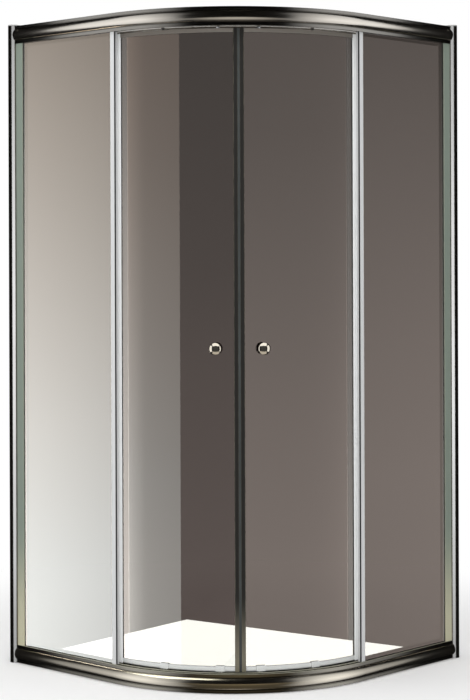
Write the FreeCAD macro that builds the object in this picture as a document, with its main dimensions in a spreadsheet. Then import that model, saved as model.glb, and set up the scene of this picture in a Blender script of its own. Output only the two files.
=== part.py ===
# Corner shower enclosure: a quadrant frame with two flat fixed panels and two curved sliding doors.
# Millimetres, +Z up. The origin is the middle of the square plan, at floor level. Outlines are drawn about
# the centre of the front arc, which lies plan_shift from the origin towards both walls, with the walls
# panel_run beyond it. Each side piece is drawn for the right-hand side, and the left-hand one is its
# mirror image in the upright plane through the room corner.
import FreeCAD
import Part
import Sketcher
import math
import os
import re

# Driving dimensions, in millimetres and degrees
SIZES = {
    # overall
    "front_radius": 480,
    "panel_run": 430,
    "overall_height": 1800,
    # clearances
    "fit_gap": 0.1,
    "slide_gap": 0.3,
    "overrun": 1,
    # rails
    "rail_height": 50,
    "rail_drop": 4,
    "nose_depth": 10,
    "lip_height": 8,
    "face_line": 1.5,
    "face_wall": 5,
    "glass_groove": 10,
    "groove_depth": 16,
    "rail_web": 2.5,
    "rear_lip": 2.5,
    "rear_drop": 3,
    "channel_width": 30,
    "ledge_height": 3,
    "slot_width": 12,
    "guide_slot": 16,
    "guide_depth": 16,
    "end_block_length": 18,
    "end_block_height": 33,
    # wall posts
    "post_width": 28,
    "post_bulge": 12,
    "post_wall": 2.5,
    "post_pocket": 27,
    "cap_height": 3,
    "cap_plug": 8,
    "wall_hole_radius": 3,
    "wall_hole_inset": 150,
    # uprights
    "upright_face": 28,
    "upright_setback": 2,
    "upright_groove": 18,
    "upright_wall": 2,
    "tongue_relief": 8,
    # fixed glass and its seals
    "glass_thickness": 6,
    "glass_edge_gap": 2,
    "seal_width": 16,
    "seal_bite": 12,
    "panel_seal_depth": 12,
    "door_seal_depth": 11,
    "fin_thickness": 1.5,
    "panel_fin": 6,
    "door_fin": 8.5,
    "fin_place": 12,
    # doors
    "meet_gap": 0.3,
    "magnet_depth": 3,
    "magnet_width": 8,
    "magnet_tongue": 2,
    "tongue_width": 4,
    "stile_width": 11,
    "stile_depth": 14,
    "stile_bite": 8,
    "stile_round": 2.5,
    "door_gap": 4,
    "door_lift": 6.5,
    "carrier_web": 4,
    "carrier_leg": 7,
    "carrier_depth": 11,
    "drip_leg": 8,
    "drip_web": 2,
    "drip_fin": 3,
    "drip_wall": 1.5,
    "bond_gap": 0.4,
    # rollers
    "lead_angle": 38,
    "trail_angle": 18,
    "open_angle": 27.5,
    "wheel_radius": 13,
    "wheel_width": 5.5,
    "wheel_gap": 0.6,
    "wheel_recess": 1.5,
    "wheel_rim": 3,
    "hub_radius": 5.5,
    "axle_radius": 3,
    "axle_head_radius": 4.5,
    "axle_head": 1.2,
    "hanger_depth": 7,
    "hanger_length": 30,
    "hanger_lift": 2,
    "hanger_height": 22,
    "stud_radius": 2.5,
    "stud_bite": 7,
    "nut_radius": 4.6,
    "nut_height": 3.2,
    "bumper_length": 12,
    "bumper_gap": 1,
    "bumper_height": 24,
    # bottom guides
    "shoe_length": 24,
    "shoe_depth": 12,
    "shoe_lift": 2,
    "shoe_leg": 10,
    "pin_radius": 2,
    "pin_bite": 3.5,
    "pin_head_radius": 3.5,
    "pin_head": 1.2,
    "roller_radius": 5,
    "roller_height": 10,
    "roller_drop": 1.5,
    # knobs
    "knob_height": 900,
    "knob_inset": 62,
    "knob_radius": 16,
    "knob_length": 27,
    "knob_flare": 6,
    "knob_rim": 5,
    "neck_radius": 6.5,
    "neck_length": 7,
    "flange_radius": 9,
    "flange_height": 3,
    "washer_height": 1,
    "knob_stud_radius": 3,
    "knob_stud_bite": 11,
    "knob_hole_radius": 5,
    # screws
    "screw_radius": 1.75,
    "screw_head_radius": 2.75,
    "screw_head": 2.2,
    "corner_bite": 18,
    "post_screw_length": 10,
    "post_screw_inset": 200,
}

# Places worked out from the driving dimensions. Radii are measured from the centre of the front arc
# and hold along the straight panels as well.
PLACES = {
    "plan_shift": "(front_radius - panel_run) / 2",
    "lip_radius": "front_radius - nose_depth",
    "nose_chord": "rail_height - 2 * (lip_height + face_line)",
    "nose_curve": "(nose_chord ^ 2 / 4 + nose_depth ^ 2) / (2 * nose_depth)",
    "groove_outer": "lip_radius - face_wall",
    "groove_inner": "groove_outer - glass_groove",
    "panel_radius": "groove_outer - glass_groove / 2",
    "channel_outer": "groove_inner - rail_web",
    "channel_inner": "channel_outer - channel_width",
    "track_radius": "channel_outer - channel_width / 2",
    "inner_edge": "channel_inner - rail_web",
    "slot_outer": "track_radius + slot_width / 2",
    "slot_inner": "track_radius - slot_width / 2",
    "rail_top": "overall_height - rail_drop",
    "rail_base": "rail_top - rail_height",
    "rail_end": "panel_run - post_width",
    "post_top": "overall_height - cap_height",
    "post_chord": "front_radius - post_bulge",
    "post_curve": "(post_width ^ 2 / 4 + post_bulge ^ 2) / (2 * post_bulge)",
    "bore_bulge": "post_bulge - post_wall",
    "bore_chord": "post_width - 2 * post_wall",
    "bore_curve": "(bore_chord ^ 2 / 4 + bore_bulge ^ 2) / (2 * bore_bulge)",
    "pocket_outer": "post_chord - post_wall",
    "pocket_inner": "pocket_outer - post_pocket",
    "post_inner": "pocket_inner - post_wall",
    "tongue_outer": "pocket_outer - slide_gap",
    "tongue_inner": "pocket_inner + slide_gap",
    "wall_hole_pitch": "(post_top - 2 * wall_hole_inset) / 3",
    "tongue_root": "panel_run - post_wall - tongue_relief",
    "post_screw_place": "(rail_end + tongue_root) / 2",
    "shoulder": "rail_end - slide_gap",
    "upright_front": "rail_end - upright_face",
    "upright_floor": "upright_front + upright_groove",
    "panel_free_edge": "seal_width - seal_bite",
    "corner_radius": "channel_outer - screw_head_radius - slide_gap",
    "corner_place": "upright_front + upright_wall + screw_head_radius",
    "leg_inner": "corner_radius - screw_radius - fit_gap - upright_wall",
    "chamber_roof": "rail_height - max(groove_depth; guide_depth) - rail_web",
    "carrier_top": "rail_base - door_gap",
    "glass_top": "carrier_top - carrier_web - bond_gap",
    "glass_base": "rail_height + door_lift",
    "door_base": "glass_base - drip_web - drip_fin",
    "stile_front": "meet_gap + magnet_depth",
    "stile_back": "stile_front + stile_width",
    "door_front_edge": "stile_back - stile_bite",
    "axle_height": "rail_base + ledge_height + slide_gap + wheel_radius",
    "hanger_base": "rail_base + ledge_height + hanger_lift",
    "roller_top": "rail_height - roller_drop",
    "shoe_base": "rail_height + shoe_lift",
    "bumper_place": "track_radius * (open_angle - trail_angle) * pi / 180 + hanger_length / 2 + bumper_gap",
    "knob_crown": "flange_height + neck_length + knob_flare + knob_rim",
    "knob_dome": "knob_length - knob_crown",
    "dome_curve": "(knob_radius ^ 2 + knob_dome ^ 2) / (2 * knob_dome)",
    "knob_turn": "45 - knob_inset / track_radius * 180 / pi",
    "washer_sag": "flange_radius ^ 2 / (2 * (track_radius - glass_thickness / 2))",
    "knob_seat": "glass_thickness / 2 + washer_sag + washer_height",
    "shoe_sag": "shoe_length ^ 2 / (8 * (track_radius - glass_thickness / 2))",
    "shoe_turn": "(shoe_length / 2 + slide_gap) / track_radius * 180 / pi",
    "stile_turn": "45 - stile_back / track_radius * 180 / pi",
}

doc = FreeCAD.newDocument("CornerShower")
sheet = doc.addObject("Spreadsheet::Sheet", "Sizes")
for row, (alias, number) in enumerate(SIZES.items(), start=1):
    sheet.set(f"A{row}", alias)
    sheet.set(f"B{row}", str(number))
    sheet.setAlias(f"B{row}", alias)
doc.recompute()


def expand(formula):
    """Write a formula out in the sheet's own aliases."""
    def swap(match):
        word = match.group(0)
        if word in PLACES:
            return f"({expand(PLACES[word])})"
        return f"Sizes.{word}" if word in SIZES else word
    return re.sub(r"[A-Za-z_]+", swap, formula)


def value(formula):
    """The number that a formula gives now."""
    return float(sheet.evalExpression(expand(formula)))


def bind(thing, path, formula):
    thing.setExpression(path, expand(formula))


def new_body(label, turn=None, lift=None):
    """A body at the centre of the front arc, turned about the upright axis and lifted where asked."""
    body = doc.addObject("PartDesign::Body", label)
    body.Label = label
    bind(body, "Placement.Base.x", "-plan_shift")
    bind(body, "Placement.Base.y", "plan_shift")
    if turn:
        body.Placement.Rotation = FreeCAD.Rotation(FreeCAD.Vector(0, 0, 1), value(turn))
        bind(body, "Placement.Rotation.Angle", turn)
    if lift:
        bind(body, "Placement.Base.z", lift)
    return body


def origin_part(body, role):
    return next(item for item in body.Origin.OriginFeatures if item.Role == role)


def set_along(sketch, edge, spot, axis, formula):
    """Hold one coordinate of a point at a formula."""
    number = value(formula)
    if formula == "0":
        rail = -2 if axis == "x" else -1
        sketch.addConstraint(Sketcher.Constraint("PointOnObject", edge, spot, rail))
        return
    kind = "DistanceX" if axis == "x" else "DistanceY"
    if number < 0:
        rule = Sketcher.Constraint(kind, edge, spot, -1, 1, -number)
        formula = f"-({formula})"
    else:
        rule = Sketcher.Constraint(kind, -1, 1, edge, spot, number)
    index = sketch.addConstraint(rule)
    sketch.setExpression(f"Constraints[{index}]", expand(formula))


def arc_edge(start, end, centre_x):
    """The arc from start to end, less than half a circle, about a centre at this x; and its ends."""
    middle = (start + end) / 2
    across = end - start
    centre_y = middle.y - (centre_x - middle.x) * across.x / across.y
    centre = FreeCAD.Vector(centre_x, centre_y, 0)
    angles = [math.atan2(p.y - centre_y, p.x - centre_x) for p in (start, end)]
    forward = (angles[1] - angles[0]) % (2 * math.pi) < math.pi
    first, last = angles if forward else reversed(angles)
    circle = Part.Circle(centre, FreeCAD.Vector(0, 0, 1), (start - centre).Length)
    return Part.ArcOfCircle(circle, first, last), (1, 2) if forward else (2, 1)


def add_loop(sketch, corners):
    """A closed outline. A corner is (x, y), or (x, y, centre_x) where an arc leads to the next one."""
    points = [FreeCAD.Vector(value(c[0]), value(c[1]), 0) for c in corners]
    edges = []
    ends = []
    for index, corner in enumerate(corners):
        start, end = points[index], points[(index + 1) % len(points)]
        if len(corner) > 2:
            edge, spots = arc_edge(start, end, value(corner[2]))
        else:
            edge, spots = Part.LineSegment(start, end), (1, 2)
        edges.append(edge)
        ends.append(spots)
    first = sketch.GeometryCount
    sketch.addGeometry(edges, False)
    for index, corner in enumerate(corners):
        after = (index + 1) % len(corners)
        sketch.addConstraint(Sketcher.Constraint(
            "Coincident", first + index, ends[index][1], first + after, ends[after][0]))
        set_along(sketch, first + index, ends[index][0], "x", corner[0])
        set_along(sketch, first + index, ends[index][0], "y", corner[1])
        if len(corner) > 2:
            set_along(sketch, first + index, 3, "x", corner[2])


def new_sketch(body, plane, offset=None):
    sketch = body.newObject("Sketcher::SketchObject", body.Label + "_sketch")
    sketch.AttachmentSupport = (origin_part(body, plane), [""])
    sketch.MapMode = "FlatFace"
    if offset:
        bind(sketch, "AttachmentOffset.Base.z", offset)
    return sketch


def outline(body, plane, *loops, offset=None):
    sketch = new_sketch(body, plane, offset)
    for corners in loops:
        add_loop(sketch, corners)
    return sketch


def rectangle(x0, y0, x1, y1):
    return [(x0, y0), (x1, y0), (x1, y1), (x0, y1)]


def pad(body, sketch, length, back=False, both=False):
    feature = body.newObject("PartDesign::Pad", body.Label + "_pad")
    feature.Profile = sketch
    feature.Reversed = back
    feature.Midplane = both
    bind(feature, "Length", length)
    doc.recompute()
    return feature


def revolve(body, sketch, axis, angle="360", behind=None):
    """Turn an outline about an axis, and the other way too where asked."""
    feature = body.newObject("PartDesign::Revolution", body.Label + "_turn")
    feature.Profile = sketch
    feature.ReferenceAxis = (origin_part(body, axis), [""])
    bind(feature, "Angle", angle)
    if behind:
        feature.Type = "TwoAngles"
        bind(feature, "Angle2", behind)
    doc.recompute()
    return feature


def pocket(body, sketch, depth, back=False, both=False):
    """Cut an outline into a body, and make sure that it cuts."""
    before = body.Shape.Volume
    feature = body.newObject("PartDesign::Pocket", body.Label + "_pocket")
    feature.Profile = sketch
    feature.Reversed = back
    feature.Midplane = both
    bind(feature, "Length", depth)
    doc.recompute()
    if body.Shape.Volume >= before:
        raise RuntimeError(f"{body.Label}: the pocket cuts nothing")


def add_circle(sketch, across, up, radius):
    place = FreeCAD.Vector(value(across), value(up), 0)
    edge = sketch.addGeometry(Part.Circle(place, FreeCAD.Vector(0, 0, 1), value(radius)), False)
    set_along(sketch, edge, 3, "x", across)
    set_along(sketch, edge, 3, "y", up)
    index = sketch.addConstraint(Sketcher.Constraint("Radius", edge, value(radius)))
    sketch.setExpression(f"Constraints[{index}]", expand(radius))


def drill(body, plane, centres, radius, depth, offset=None, back=False, both=False):
    """Round holes at the centres, cut from a plane."""
    sketch = new_sketch(body, plane, offset)
    for across, up in centres:
        add_circle(sketch, across, up, radius)
    pocket(body, sketch, depth, back, both)


def mirror(label, source):
    """The left-hand twin of a right-hand piece."""
    twin = doc.addObject("Part::Mirroring", label)
    twin.Label = label
    twin.Source = source
    twin.Normal = FreeCAD.Vector(1, 1, 0)
    return twin


def group(label, members):
    """Like pieces that share one node."""
    bundle = doc.addObject("Part::Compound", label)
    bundle.Label = label
    bundle.Links = members
    return bundle


nodes = []


def both_sides(name, right_piece):
    """Keep a right-hand piece and its left-hand twin."""
    right_piece.Label = "right_" + name
    nodes.extend([right_piece, mirror("left_" + name, right_piece)])


# Rails: one extrusion section, straight, round the quarter arc and straight again
def nose_face(side, level):
    """The front of a rail: lip, line, half-round nose, line and lip."""
    far_lip = "(rail_height - lip_height)"
    near_line = "(lip_height + face_line)"
    far_line = "(rail_height - lip_height - face_line)"
    nose_centre = side("lip_radius + nose_depth - nose_curve")
    lip = side("lip_radius")
    sunk = side("lip_radius - face_line")
    return [
        (lip, level("0")), (lip, level("lip_height")), (sunk, level("lip_height")),
        (sunk, level(near_line)), (lip, level(near_line), nose_centre), (lip, level(far_line)),
        (sunk, level(far_line)), (sunk, level(far_lip)), (lip, level(far_lip)), (lip, level("rail_height")),
    ]


def glass_groove(side, level):
    return [
        (side("groove_inner"), level("0")), (side("groove_inner"), level("groove_depth")),
        (side("groove_outer"), level("groove_depth")), (side("groove_outer"), level("0")),
    ]


def top_section(side, level):
    """Rear lip, roller channel with two ledges, glass groove, nose, and a closed chamber above the groove."""
    roof = "(rail_height - rail_web)"
    channel = [
        (side("inner_edge"), level("0 - rear_drop")), (side("inner_edge + rear_lip"), level("0 - rear_drop")),
        (side("inner_edge + rear_lip"), level("0")), (side("slot_inner"), level("0")),
        (side("slot_inner"), level("ledge_height")), (side("channel_inner"), level("ledge_height")),
        (side("channel_inner"), level(roof)), (side("channel_outer"), level(roof)),
        (side("channel_outer"), level("ledge_height")), (side("slot_outer"), level("ledge_height")),
        (side("slot_outer"), level("0")),
    ]
    outer = channel + glass_groove(side, level) + nose_face(side, level)
    outer.append((side("inner_edge"), level("rail_height")))
    chamber = rectangle(side("groove_inner"), level("groove_depth + rail_web"),
                        side("groove_outer"), level(roof))
    return [outer, chamber]


def bottom_section(side, level):
    """Open guide slot, glass groove, nose, and a closed chamber under both."""
    inner = side("track_radius - guide_slot / 2")
    outer_wall = side("track_radius + guide_slot / 2")
    slot = [
        (side("inner_edge"), level("0")), (inner, level("0")), (inner, level("guide_depth")),
        (outer_wall, level("guide_depth")), (outer_wall, level("0")),
    ]
    outer = slot + glass_groove(side, level) + nose_face(side, level)
    outer.append((side("inner_edge"), level("rail_height")))
    chamber = rectangle(side("channel_inner"), level("rail_height - chamber_roof"),
                        side("groove_outer"), level("rail_height - rail_web"))
    return [outer, chamber]


def right_side(formula):
    return formula


def left_side(formula):
    return f"-({formula})"


def above_opening(formula):
    return f"rail_base + {formula}"


def below_opening(formula):
    return "rail_height" if formula == "0" else f"rail_height - ({formula})"


def make_rail(label, section, level):
    body = new_body(label)
    left = outline(body, "YZ_Plane", *section(left_side, level))
    pad(body, left, "rail_end", back=True)
    revolve(body, left, "Z_Axis", "90")
    right = outline(body, "XZ_Plane", *section(right_side, level))
    pad(body, right, "rail_end", back=True)
    return body


def corner_centres():
    return [("corner_radius", "corner_place"), ("-corner_place", "-corner_radius")]


top_rail = make_rail("top_rail", top_section, above_opening)
drill(top_rail, "XY_Plane", corner_centres(), "screw_radius + fit_gap", "ledge_height + overrun",
      offset="rail_base + ledge_height")
bottom_rail = make_rail("bottom_rail", bottom_section, below_opening)
drill(bottom_rail, "XY_Plane", corner_centres(), "screw_radius + fit_gap", "rail_height",
      offset="rail_height")
drill(bottom_rail, "XY_Plane", corner_centres(), "screw_head_radius + slide_gap", "rail_web",
      offset="rail_web")
nodes.extend([top_rail, bottom_rail])


# Wall posts: an open channel with a rounded, hollow front leg
def make_post():
    body = new_body("right_wall_channel")
    front = "post_chord + post_bulge - post_curve"
    bore_front = "post_chord + bore_bulge - bore_curve"
    shell = [
        ("post_inner", "panel_run"), ("post_chord", "panel_run", front), ("post_chord", "rail_end"),
        ("pocket_outer", "rail_end"), ("pocket_outer", "panel_run - post_wall"),
        ("pocket_inner", "panel_run - post_wall"), ("pocket_inner", "rail_end"), ("post_inner", "rail_end"),
    ]
    bore = [("post_chord", "panel_run - post_wall", bore_front), ("post_chord", "rail_end + post_wall")]
    pad(body, outline(body, "XY_Plane", shell, bore), "post_top")
    levels = [f"wall_hole_inset + wall_hole_pitch * {step}" for step in range(4)]
    drill(body, "XZ_Plane", [("(pocket_inner + pocket_outer) / 2", z) for z in levels],
          "wall_hole_radius", "post_wall + overrun", offset="-(panel_run - post_wall)")
    drill(body, "YZ_Plane", [("post_screw_place", z) for z in post_screw_levels()],
          "screw_radius + slide_gap", "post_wall", offset="post_inner", back=True)
    return body


def post_screw_levels():
    return ["post_screw_inset", "overall_height / 2", "post_top - post_screw_inset"]


def make_cap():
    """A lid on the post, with a plug in the hollow leg."""
    body = new_body("right_post_cap")
    front = "post_chord + post_bulge - post_curve"
    plug_front = "post_chord + bore_bulge - slide_gap - bore_curve"
    lid = [
        ("post_inner", "panel_run"), ("post_chord", "panel_run", front),
        ("post_chord", "rail_end"), ("post_inner", "rail_end"),
    ]
    pad(body, outline(body, "XY_Plane", lid, offset="post_top"), "cap_height")
    near = "post_chord + slide_gap"
    plug = [(near, "panel_run - post_wall - slide_gap", plug_front),
            (near, "rail_end + post_wall + slide_gap")]
    pad(body, outline(body, "XY_Plane", plug, offset="post_top"), "cap_plug", back=True)
    return body


both_sides("wall_channel", make_post())
both_sides("post_cap", make_cap())


# Uprights: a hollow tongue that slides in the post, and a flat head with the glass groove
def make_upright():
    body = new_body("right_upright")
    head = "lip_radius - upright_setback"
    shell = [
        ("tongue_inner", "tongue_root"), ("tongue_outer", "tongue_root"), ("tongue_outer", "shoulder"),
        (head, "shoulder"), (head, "upright_front"), ("groove_outer", "upright_front"),
        ("groove_outer", "upright_floor"), ("groove_inner", "upright_floor"),
        ("groove_inner", "upright_front"), ("leg_inner", "upright_front"),
        ("leg_inner", "upright_floor"), ("tongue_inner", "upright_floor"),
    ]
    chamber = rectangle("tongue_inner + upright_wall", "upright_floor + upright_wall",
                        "tongue_outer - upright_wall", "tongue_root - upright_wall")
    pad(body, outline(body, "XY_Plane", shell, chamber, offset="rail_height"), "rail_base - rail_height")
    place = [("corner_radius", "corner_place")]
    drill(body, "XY_Plane", place, "screw_radius + fit_gap", "corner_bite + overrun", offset="rail_base")
    drill(body, "XY_Plane", place, "screw_radius + fit_gap", "corner_bite + overrun",
          offset="rail_height", back=True)
    drill(body, "YZ_Plane", [("post_screw_place", z) for z in post_screw_levels()],
          "screw_radius + fit_gap", "upright_wall", offset="tongue_inner", back=True)
    return body


both_sides("upright", make_upright())


# Fixed glass, its gasket and the white seal on its free edge
def make_fixed_glass():
    body = new_body("right_fixed_glass")
    pane = rectangle("panel_radius - glass_thickness / 2", "panel_free_edge",
                     "panel_radius + glass_thickness / 2", "upright_floor - glass_edge_gap")
    base = "rail_height - groove_depth + glass_edge_gap"
    top = "rail_base + groove_depth - glass_edge_gap"
    pad(body, outline(body, "XY_Plane", pane, offset=base), f"({top}) - ({base})")
    return body


def make_gasket():
    """A soft channel round the three held edges of the fixed glass."""
    body = new_body("right_glazing_gasket")
    free = "seal_width + slide_gap"
    back = "upright_floor - fit_gap"
    low = "rail_height - groove_depth + fit_gap"
    high = "rail_base + groove_depth - fit_gap"
    frame = [
        (free, low), (back, low), (back, high), (free, high), (free, "rail_base"),
        ("upright_front", "rail_base"), ("upright_front", "rail_height"), (free, "rail_height"),
    ]
    pad(body, outline(body, "YZ_Plane", frame, offset="panel_radius"),
        "glass_groove - 2 * fit_gap", both=True)
    pane = rectangle("0", "rail_height - groove_depth + glass_edge_gap - fit_gap",
                     "upright_floor - glass_edge_gap + fit_gap",
                     "rail_base + groove_depth - glass_edge_gap + fit_gap")
    pocket(body, outline(body, "YZ_Plane", pane, offset="panel_radius"),
           "glass_thickness + 2 * fit_gap", both=True)
    return body


def make_panel_seal():
    """A channel on the glass edge, with a fin towards the door."""
    body = new_body("right_panel_seal")
    outer = "panel_radius + panel_seal_depth / 2"
    inner = "panel_radius - panel_seal_depth / 2"
    glass_out = "panel_radius + glass_thickness / 2 + fit_gap"
    glass_in = "panel_radius - glass_thickness / 2 - fit_gap"
    floor = "panel_free_edge - fit_gap"
    fin_far = "fin_place - slide_gap"
    fin_near = "fin_place - slide_gap - fin_thickness"
    tip = f"({inner}) - panel_fin"
    section = [
        (outer, "0"), (outer, "seal_width"), (glass_out, "seal_width"), (glass_out, floor),
        (glass_in, floor), (glass_in, "seal_width"), (inner, "seal_width"), (inner, fin_far),
        (tip, fin_far), (tip, fin_near), (inner, fin_near), (inner, "0"),
    ]
    pad(body, outline(body, "XY_Plane", section, offset="rail_height"), "rail_base - rail_height")
    return body


both_sides("fixed_glass", make_fixed_glass())
both_sides("glazing_gasket", make_gasket())
both_sides("panel_seal", make_panel_seal())


# Rail ends, bumpers and screws of the frame
def make_block(label, half_depth, near, far, base, height):
    body = new_body(label)
    plan = rectangle(f"track_radius - ({half_depth})", near, f"track_radius + ({half_depth})", far)
    pad(body, outline(body, "XY_Plane", plan, offset=base), height)
    return body


def make_screw(label, length):
    """A pan-head screw that points down, with its head's seat at the origin."""
    body = new_body(label)
    half = [("0", f"-({length})"), ("screw_radius", f"-({length})"), ("screw_radius", "0"),
            ("screw_head_radius", "0"), ("screw_head_radius", "screw_head"), ("0", "screw_head")]
    revolve(body, outline(body, "XZ_Plane", half), "Z_Axis")
    return body


def put(piece, x, y, z, axis=None, angle=None):
    """Place a piece by formulas from the centre of the front arc, turned first where asked."""
    if axis:
        piece.Placement.Rotation = FreeCAD.Rotation(axis, angle)
    for name, formula in zip("xyz", (f"{x} - plan_shift", f"{y} + plan_shift", z)):
        bind(piece, f"Placement.Base.{name}", formula)
    return piece


def with_twins(name, pieces):
    """Right-hand pieces and their mirror images in one node."""
    twins = [mirror(f"left_{piece.Name}", piece) for piece in pieces]
    nodes.append(group(name, pieces + twins))


block_near = "rail_end - end_block_length"
top_block = make_block("top_end_block", "channel_width / 2 - slide_gap", block_near, "rail_end",
                       "rail_base + ledge_height", "end_block_height")
bottom_block = make_block("bottom_end_block", "guide_slot / 2 - slide_gap", block_near, "rail_end",
                          "rail_height - guide_depth", "guide_depth")
with_twins("rail_end_blocks", [top_block, bottom_block])
bumper = make_block("bumper", "channel_width / 2 - slide_gap", "bumper_place",
                    "bumper_place + bumper_length", "rail_base + ledge_height", "bumper_height")
with_twins("door_bumpers", [bumper])

top_screw = put(make_screw("top_corner_screw", "ledge_height + corner_bite"),
                "corner_radius", "corner_place", "rail_base + ledge_height")
bottom_screw = put(make_screw("bottom_corner_screw", "rail_height - chamber_roof + corner_bite"),
                   "corner_radius", "corner_place", "chamber_roof", FreeCAD.Vector(1, 0, 0), 180)
with_twins("corner_screws", [top_screw, bottom_screw])
post_screws = [
    put(make_screw(f"post_screw_{index}", "post_screw_length"),
        "post_inner", "post_screw_place", level, FreeCAD.Vector(0, 1, 0), -90)
    for index, level in enumerate(post_screw_levels())
]
with_twins("post_screws", post_screws)


# Doors: curved glass with its stile, magnet, seals and carrier
def make_door_glass():
    """Drawn about the knob's hole, and swung both ways from there."""
    body = new_body("right_door_glass", turn="-knob_turn")
    section = rectangle("track_radius - glass_thickness / 2", "glass_base",
                        "track_radius + glass_thickness / 2", "glass_top")
    to_tail = "knob_turn + seal_bite / track_radius * 180 / pi"
    to_front = "(knob_inset - door_front_edge) / track_radius * 180 / pi"
    revolve(body, outline(body, "XZ_Plane", section), "Z_Axis", to_tail, to_front)
    drill(body, "YZ_Plane", [("0", "knob_height")], "knob_hole_radius", "4 * glass_thickness",
          offset="track_radius", both=True)
    return body


STATIONS = {"lead": "lead_angle", "trail": "trail_angle"}


def station_point(turn):
    """Where a hanger and its guide stand on the track, in plan."""
    return f"track_radius * cos({turn})", f"-track_radius * sin({turn})"


def make_carrier():
    """A curved channel over the top edge of the door glass, tapped for the hanger studs."""
    body = new_body("right_door_carrier")
    inner = "track_radius - carrier_depth / 2"
    outer = "track_radius + carrier_depth / 2"
    glass_in = "track_radius - glass_thickness / 2 - bond_gap"
    glass_out = "track_radius + glass_thickness / 2 + bond_gap"
    foot = "carrier_top - carrier_web - carrier_leg"
    web = "carrier_top - carrier_web"
    section = [(inner, foot), (glass_in, foot), (glass_in, web), (glass_out, web),
               (glass_out, foot), (outer, foot), (outer, "carrier_top"), (inner, "carrier_top")]
    sketch = outline(body, "XZ_Plane", section)
    feature = revolve(body, sketch, "Z_Axis", "stile_turn - slide_gap / track_radius * 180 / pi")
    feature.Reversed = True
    doc.recompute()
    drill(body, "XY_Plane", [station_point(turn) for turn in STATIONS.values()],
          "stud_radius + fit_gap", "carrier_web", offset="carrier_top")
    return body


def make_stile():
    """A channel on the front edge of the glass, with a keyed groove for the magnet strip."""
    body = new_body("right_door_stile", turn="-45")
    inner = "track_radius - stile_depth / 2"
    outer = "track_radius + stile_depth / 2"
    glass_in = "track_radius - glass_thickness / 2 - bond_gap"
    glass_out = "track_radius + glass_thickness / 2 + bond_gap"
    key_in = "track_radius - tongue_width / 2 - fit_gap"
    key_out = "track_radius + tongue_width / 2 + fit_gap"
    key_floor = "stile_front + magnet_tongue + fit_gap"
    round_in = f"({inner}) + stile_round"
    round_out = f"({outer}) - stile_round"
    section = [
        (inner, "stile_front"), (key_in, "stile_front"), (key_in, key_floor), (key_out, key_floor),
        (key_out, "stile_front"), (outer, "stile_front"), (outer, "stile_back - stile_round", round_out),
        (round_out, "stile_back"), (glass_out, "stile_back"),
        (glass_out, "door_front_edge - fit_gap"), (glass_in, "door_front_edge - fit_gap"),
        (glass_in, "stile_back"), (round_in, "stile_back", round_in), (inner, "stile_back - stile_round"),
    ]
    pad(body, outline(body, "XY_Plane", section, offset="door_base"), "carrier_top - door_base")
    return body


def make_magnet():
    """The strip that meets the other door, keyed into the stile."""
    body = new_body("right_magnet_strip", turn="-45")
    inner = "track_radius - magnet_width / 2"
    outer = "track_radius + magnet_width / 2"
    key_in = "track_radius - tongue_width / 2"
    key_out = "track_radius + tongue_width / 2"
    section = [
        (inner, "meet_gap"), (outer, "meet_gap"), (outer, "stile_front"), (key_out, "stile_front"),
        (key_out, "stile_front + magnet_tongue"), (key_in, "stile_front + magnet_tongue"),
        (key_in, "stile_front"), (inner, "stile_front"),
    ]
    pad(body, outline(body, "XY_Plane", section, offset="door_base"), "carrier_top - door_base")
    return body


def make_trailing_seal():
    """A channel on the rear edge of the door glass, with a fin towards the fixed panel."""
    body = new_body("right_trailing_seal")
    outer = "track_radius + door_seal_depth / 2"
    inner = "track_radius - door_seal_depth / 2"
    glass_out = "track_radius + glass_thickness / 2 + bond_gap"
    glass_in = "track_radius - glass_thickness / 2 - bond_gap"
    floor = "seal_bite + fit_gap"
    fin_far = "fin_place + fin_thickness"
    tip = f"({outer}) + door_fin"
    section = [
        (glass_out, "0"), (outer, "0"), (outer, "fin_place"), (tip, "fin_place"), (tip, fin_far),
        (outer, fin_far), (outer, "seal_width"), (inner, "seal_width"), (inner, "0"), (glass_in, "0"),
        (glass_in, floor), (glass_out, floor),
    ]
    pad(body, outline(body, "XY_Plane", section, offset="door_base"), "carrier_top - door_base")
    return body


def make_drip_length(label, start, end):
    """One length of the seal under the door, between two turns behind the straight panel."""
    body = new_body(label, turn=f"-({start})")
    inner = "track_radius - glass_thickness / 2 - drip_wall"
    outer = "track_radius + glass_thickness / 2 + drip_wall"
    glass_in = "track_radius - glass_thickness / 2 - fit_gap"
    glass_out = "track_radius + glass_thickness / 2 + fit_gap"
    fin_in = "track_radius - drip_wall / 2"
    fin_out = "track_radius + drip_wall / 2"
    web = "glass_base - drip_web"
    section = [
        (inner, web), (fin_in, web), (fin_in, "door_base"), (fin_out, "door_base"), (fin_out, web),
        (outer, web), (outer, "glass_base + drip_leg"), (glass_out, "glass_base + drip_leg"),
        (glass_out, "glass_base - fit_gap"), (glass_in, "glass_base - fit_gap"),
        (glass_in, "glass_base + drip_leg"), (inner, "glass_base + drip_leg"),
    ]
    feature = revolve(body, outline(body, "XZ_Plane", section), "Z_Axis", f"({end}) - ({start})")
    feature.Reversed = True
    doc.recompute()
    return body


def make_drip_seal():
    gap = "slide_gap / track_radius * 180 / pi"
    stops = [
        ("drip_tail", gap, "trail_angle - shoe_turn"),
        ("drip_middle", "trail_angle + shoe_turn", "lead_angle - shoe_turn"),
        ("drip_front", "lead_angle + shoe_turn", f"stile_turn - {gap}"),
    ]
    return group("right_drip_seal", [make_drip_length(*stop) for stop in stops])


both_sides("door_glass", make_door_glass())
both_sides("door_carrier", make_carrier())
both_sides("door_stile", make_stile())
both_sides("magnet_strip", make_magnet())
both_sides("trailing_seal", make_trailing_seal())
both_sides("drip_seal", make_drip_seal())


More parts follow.
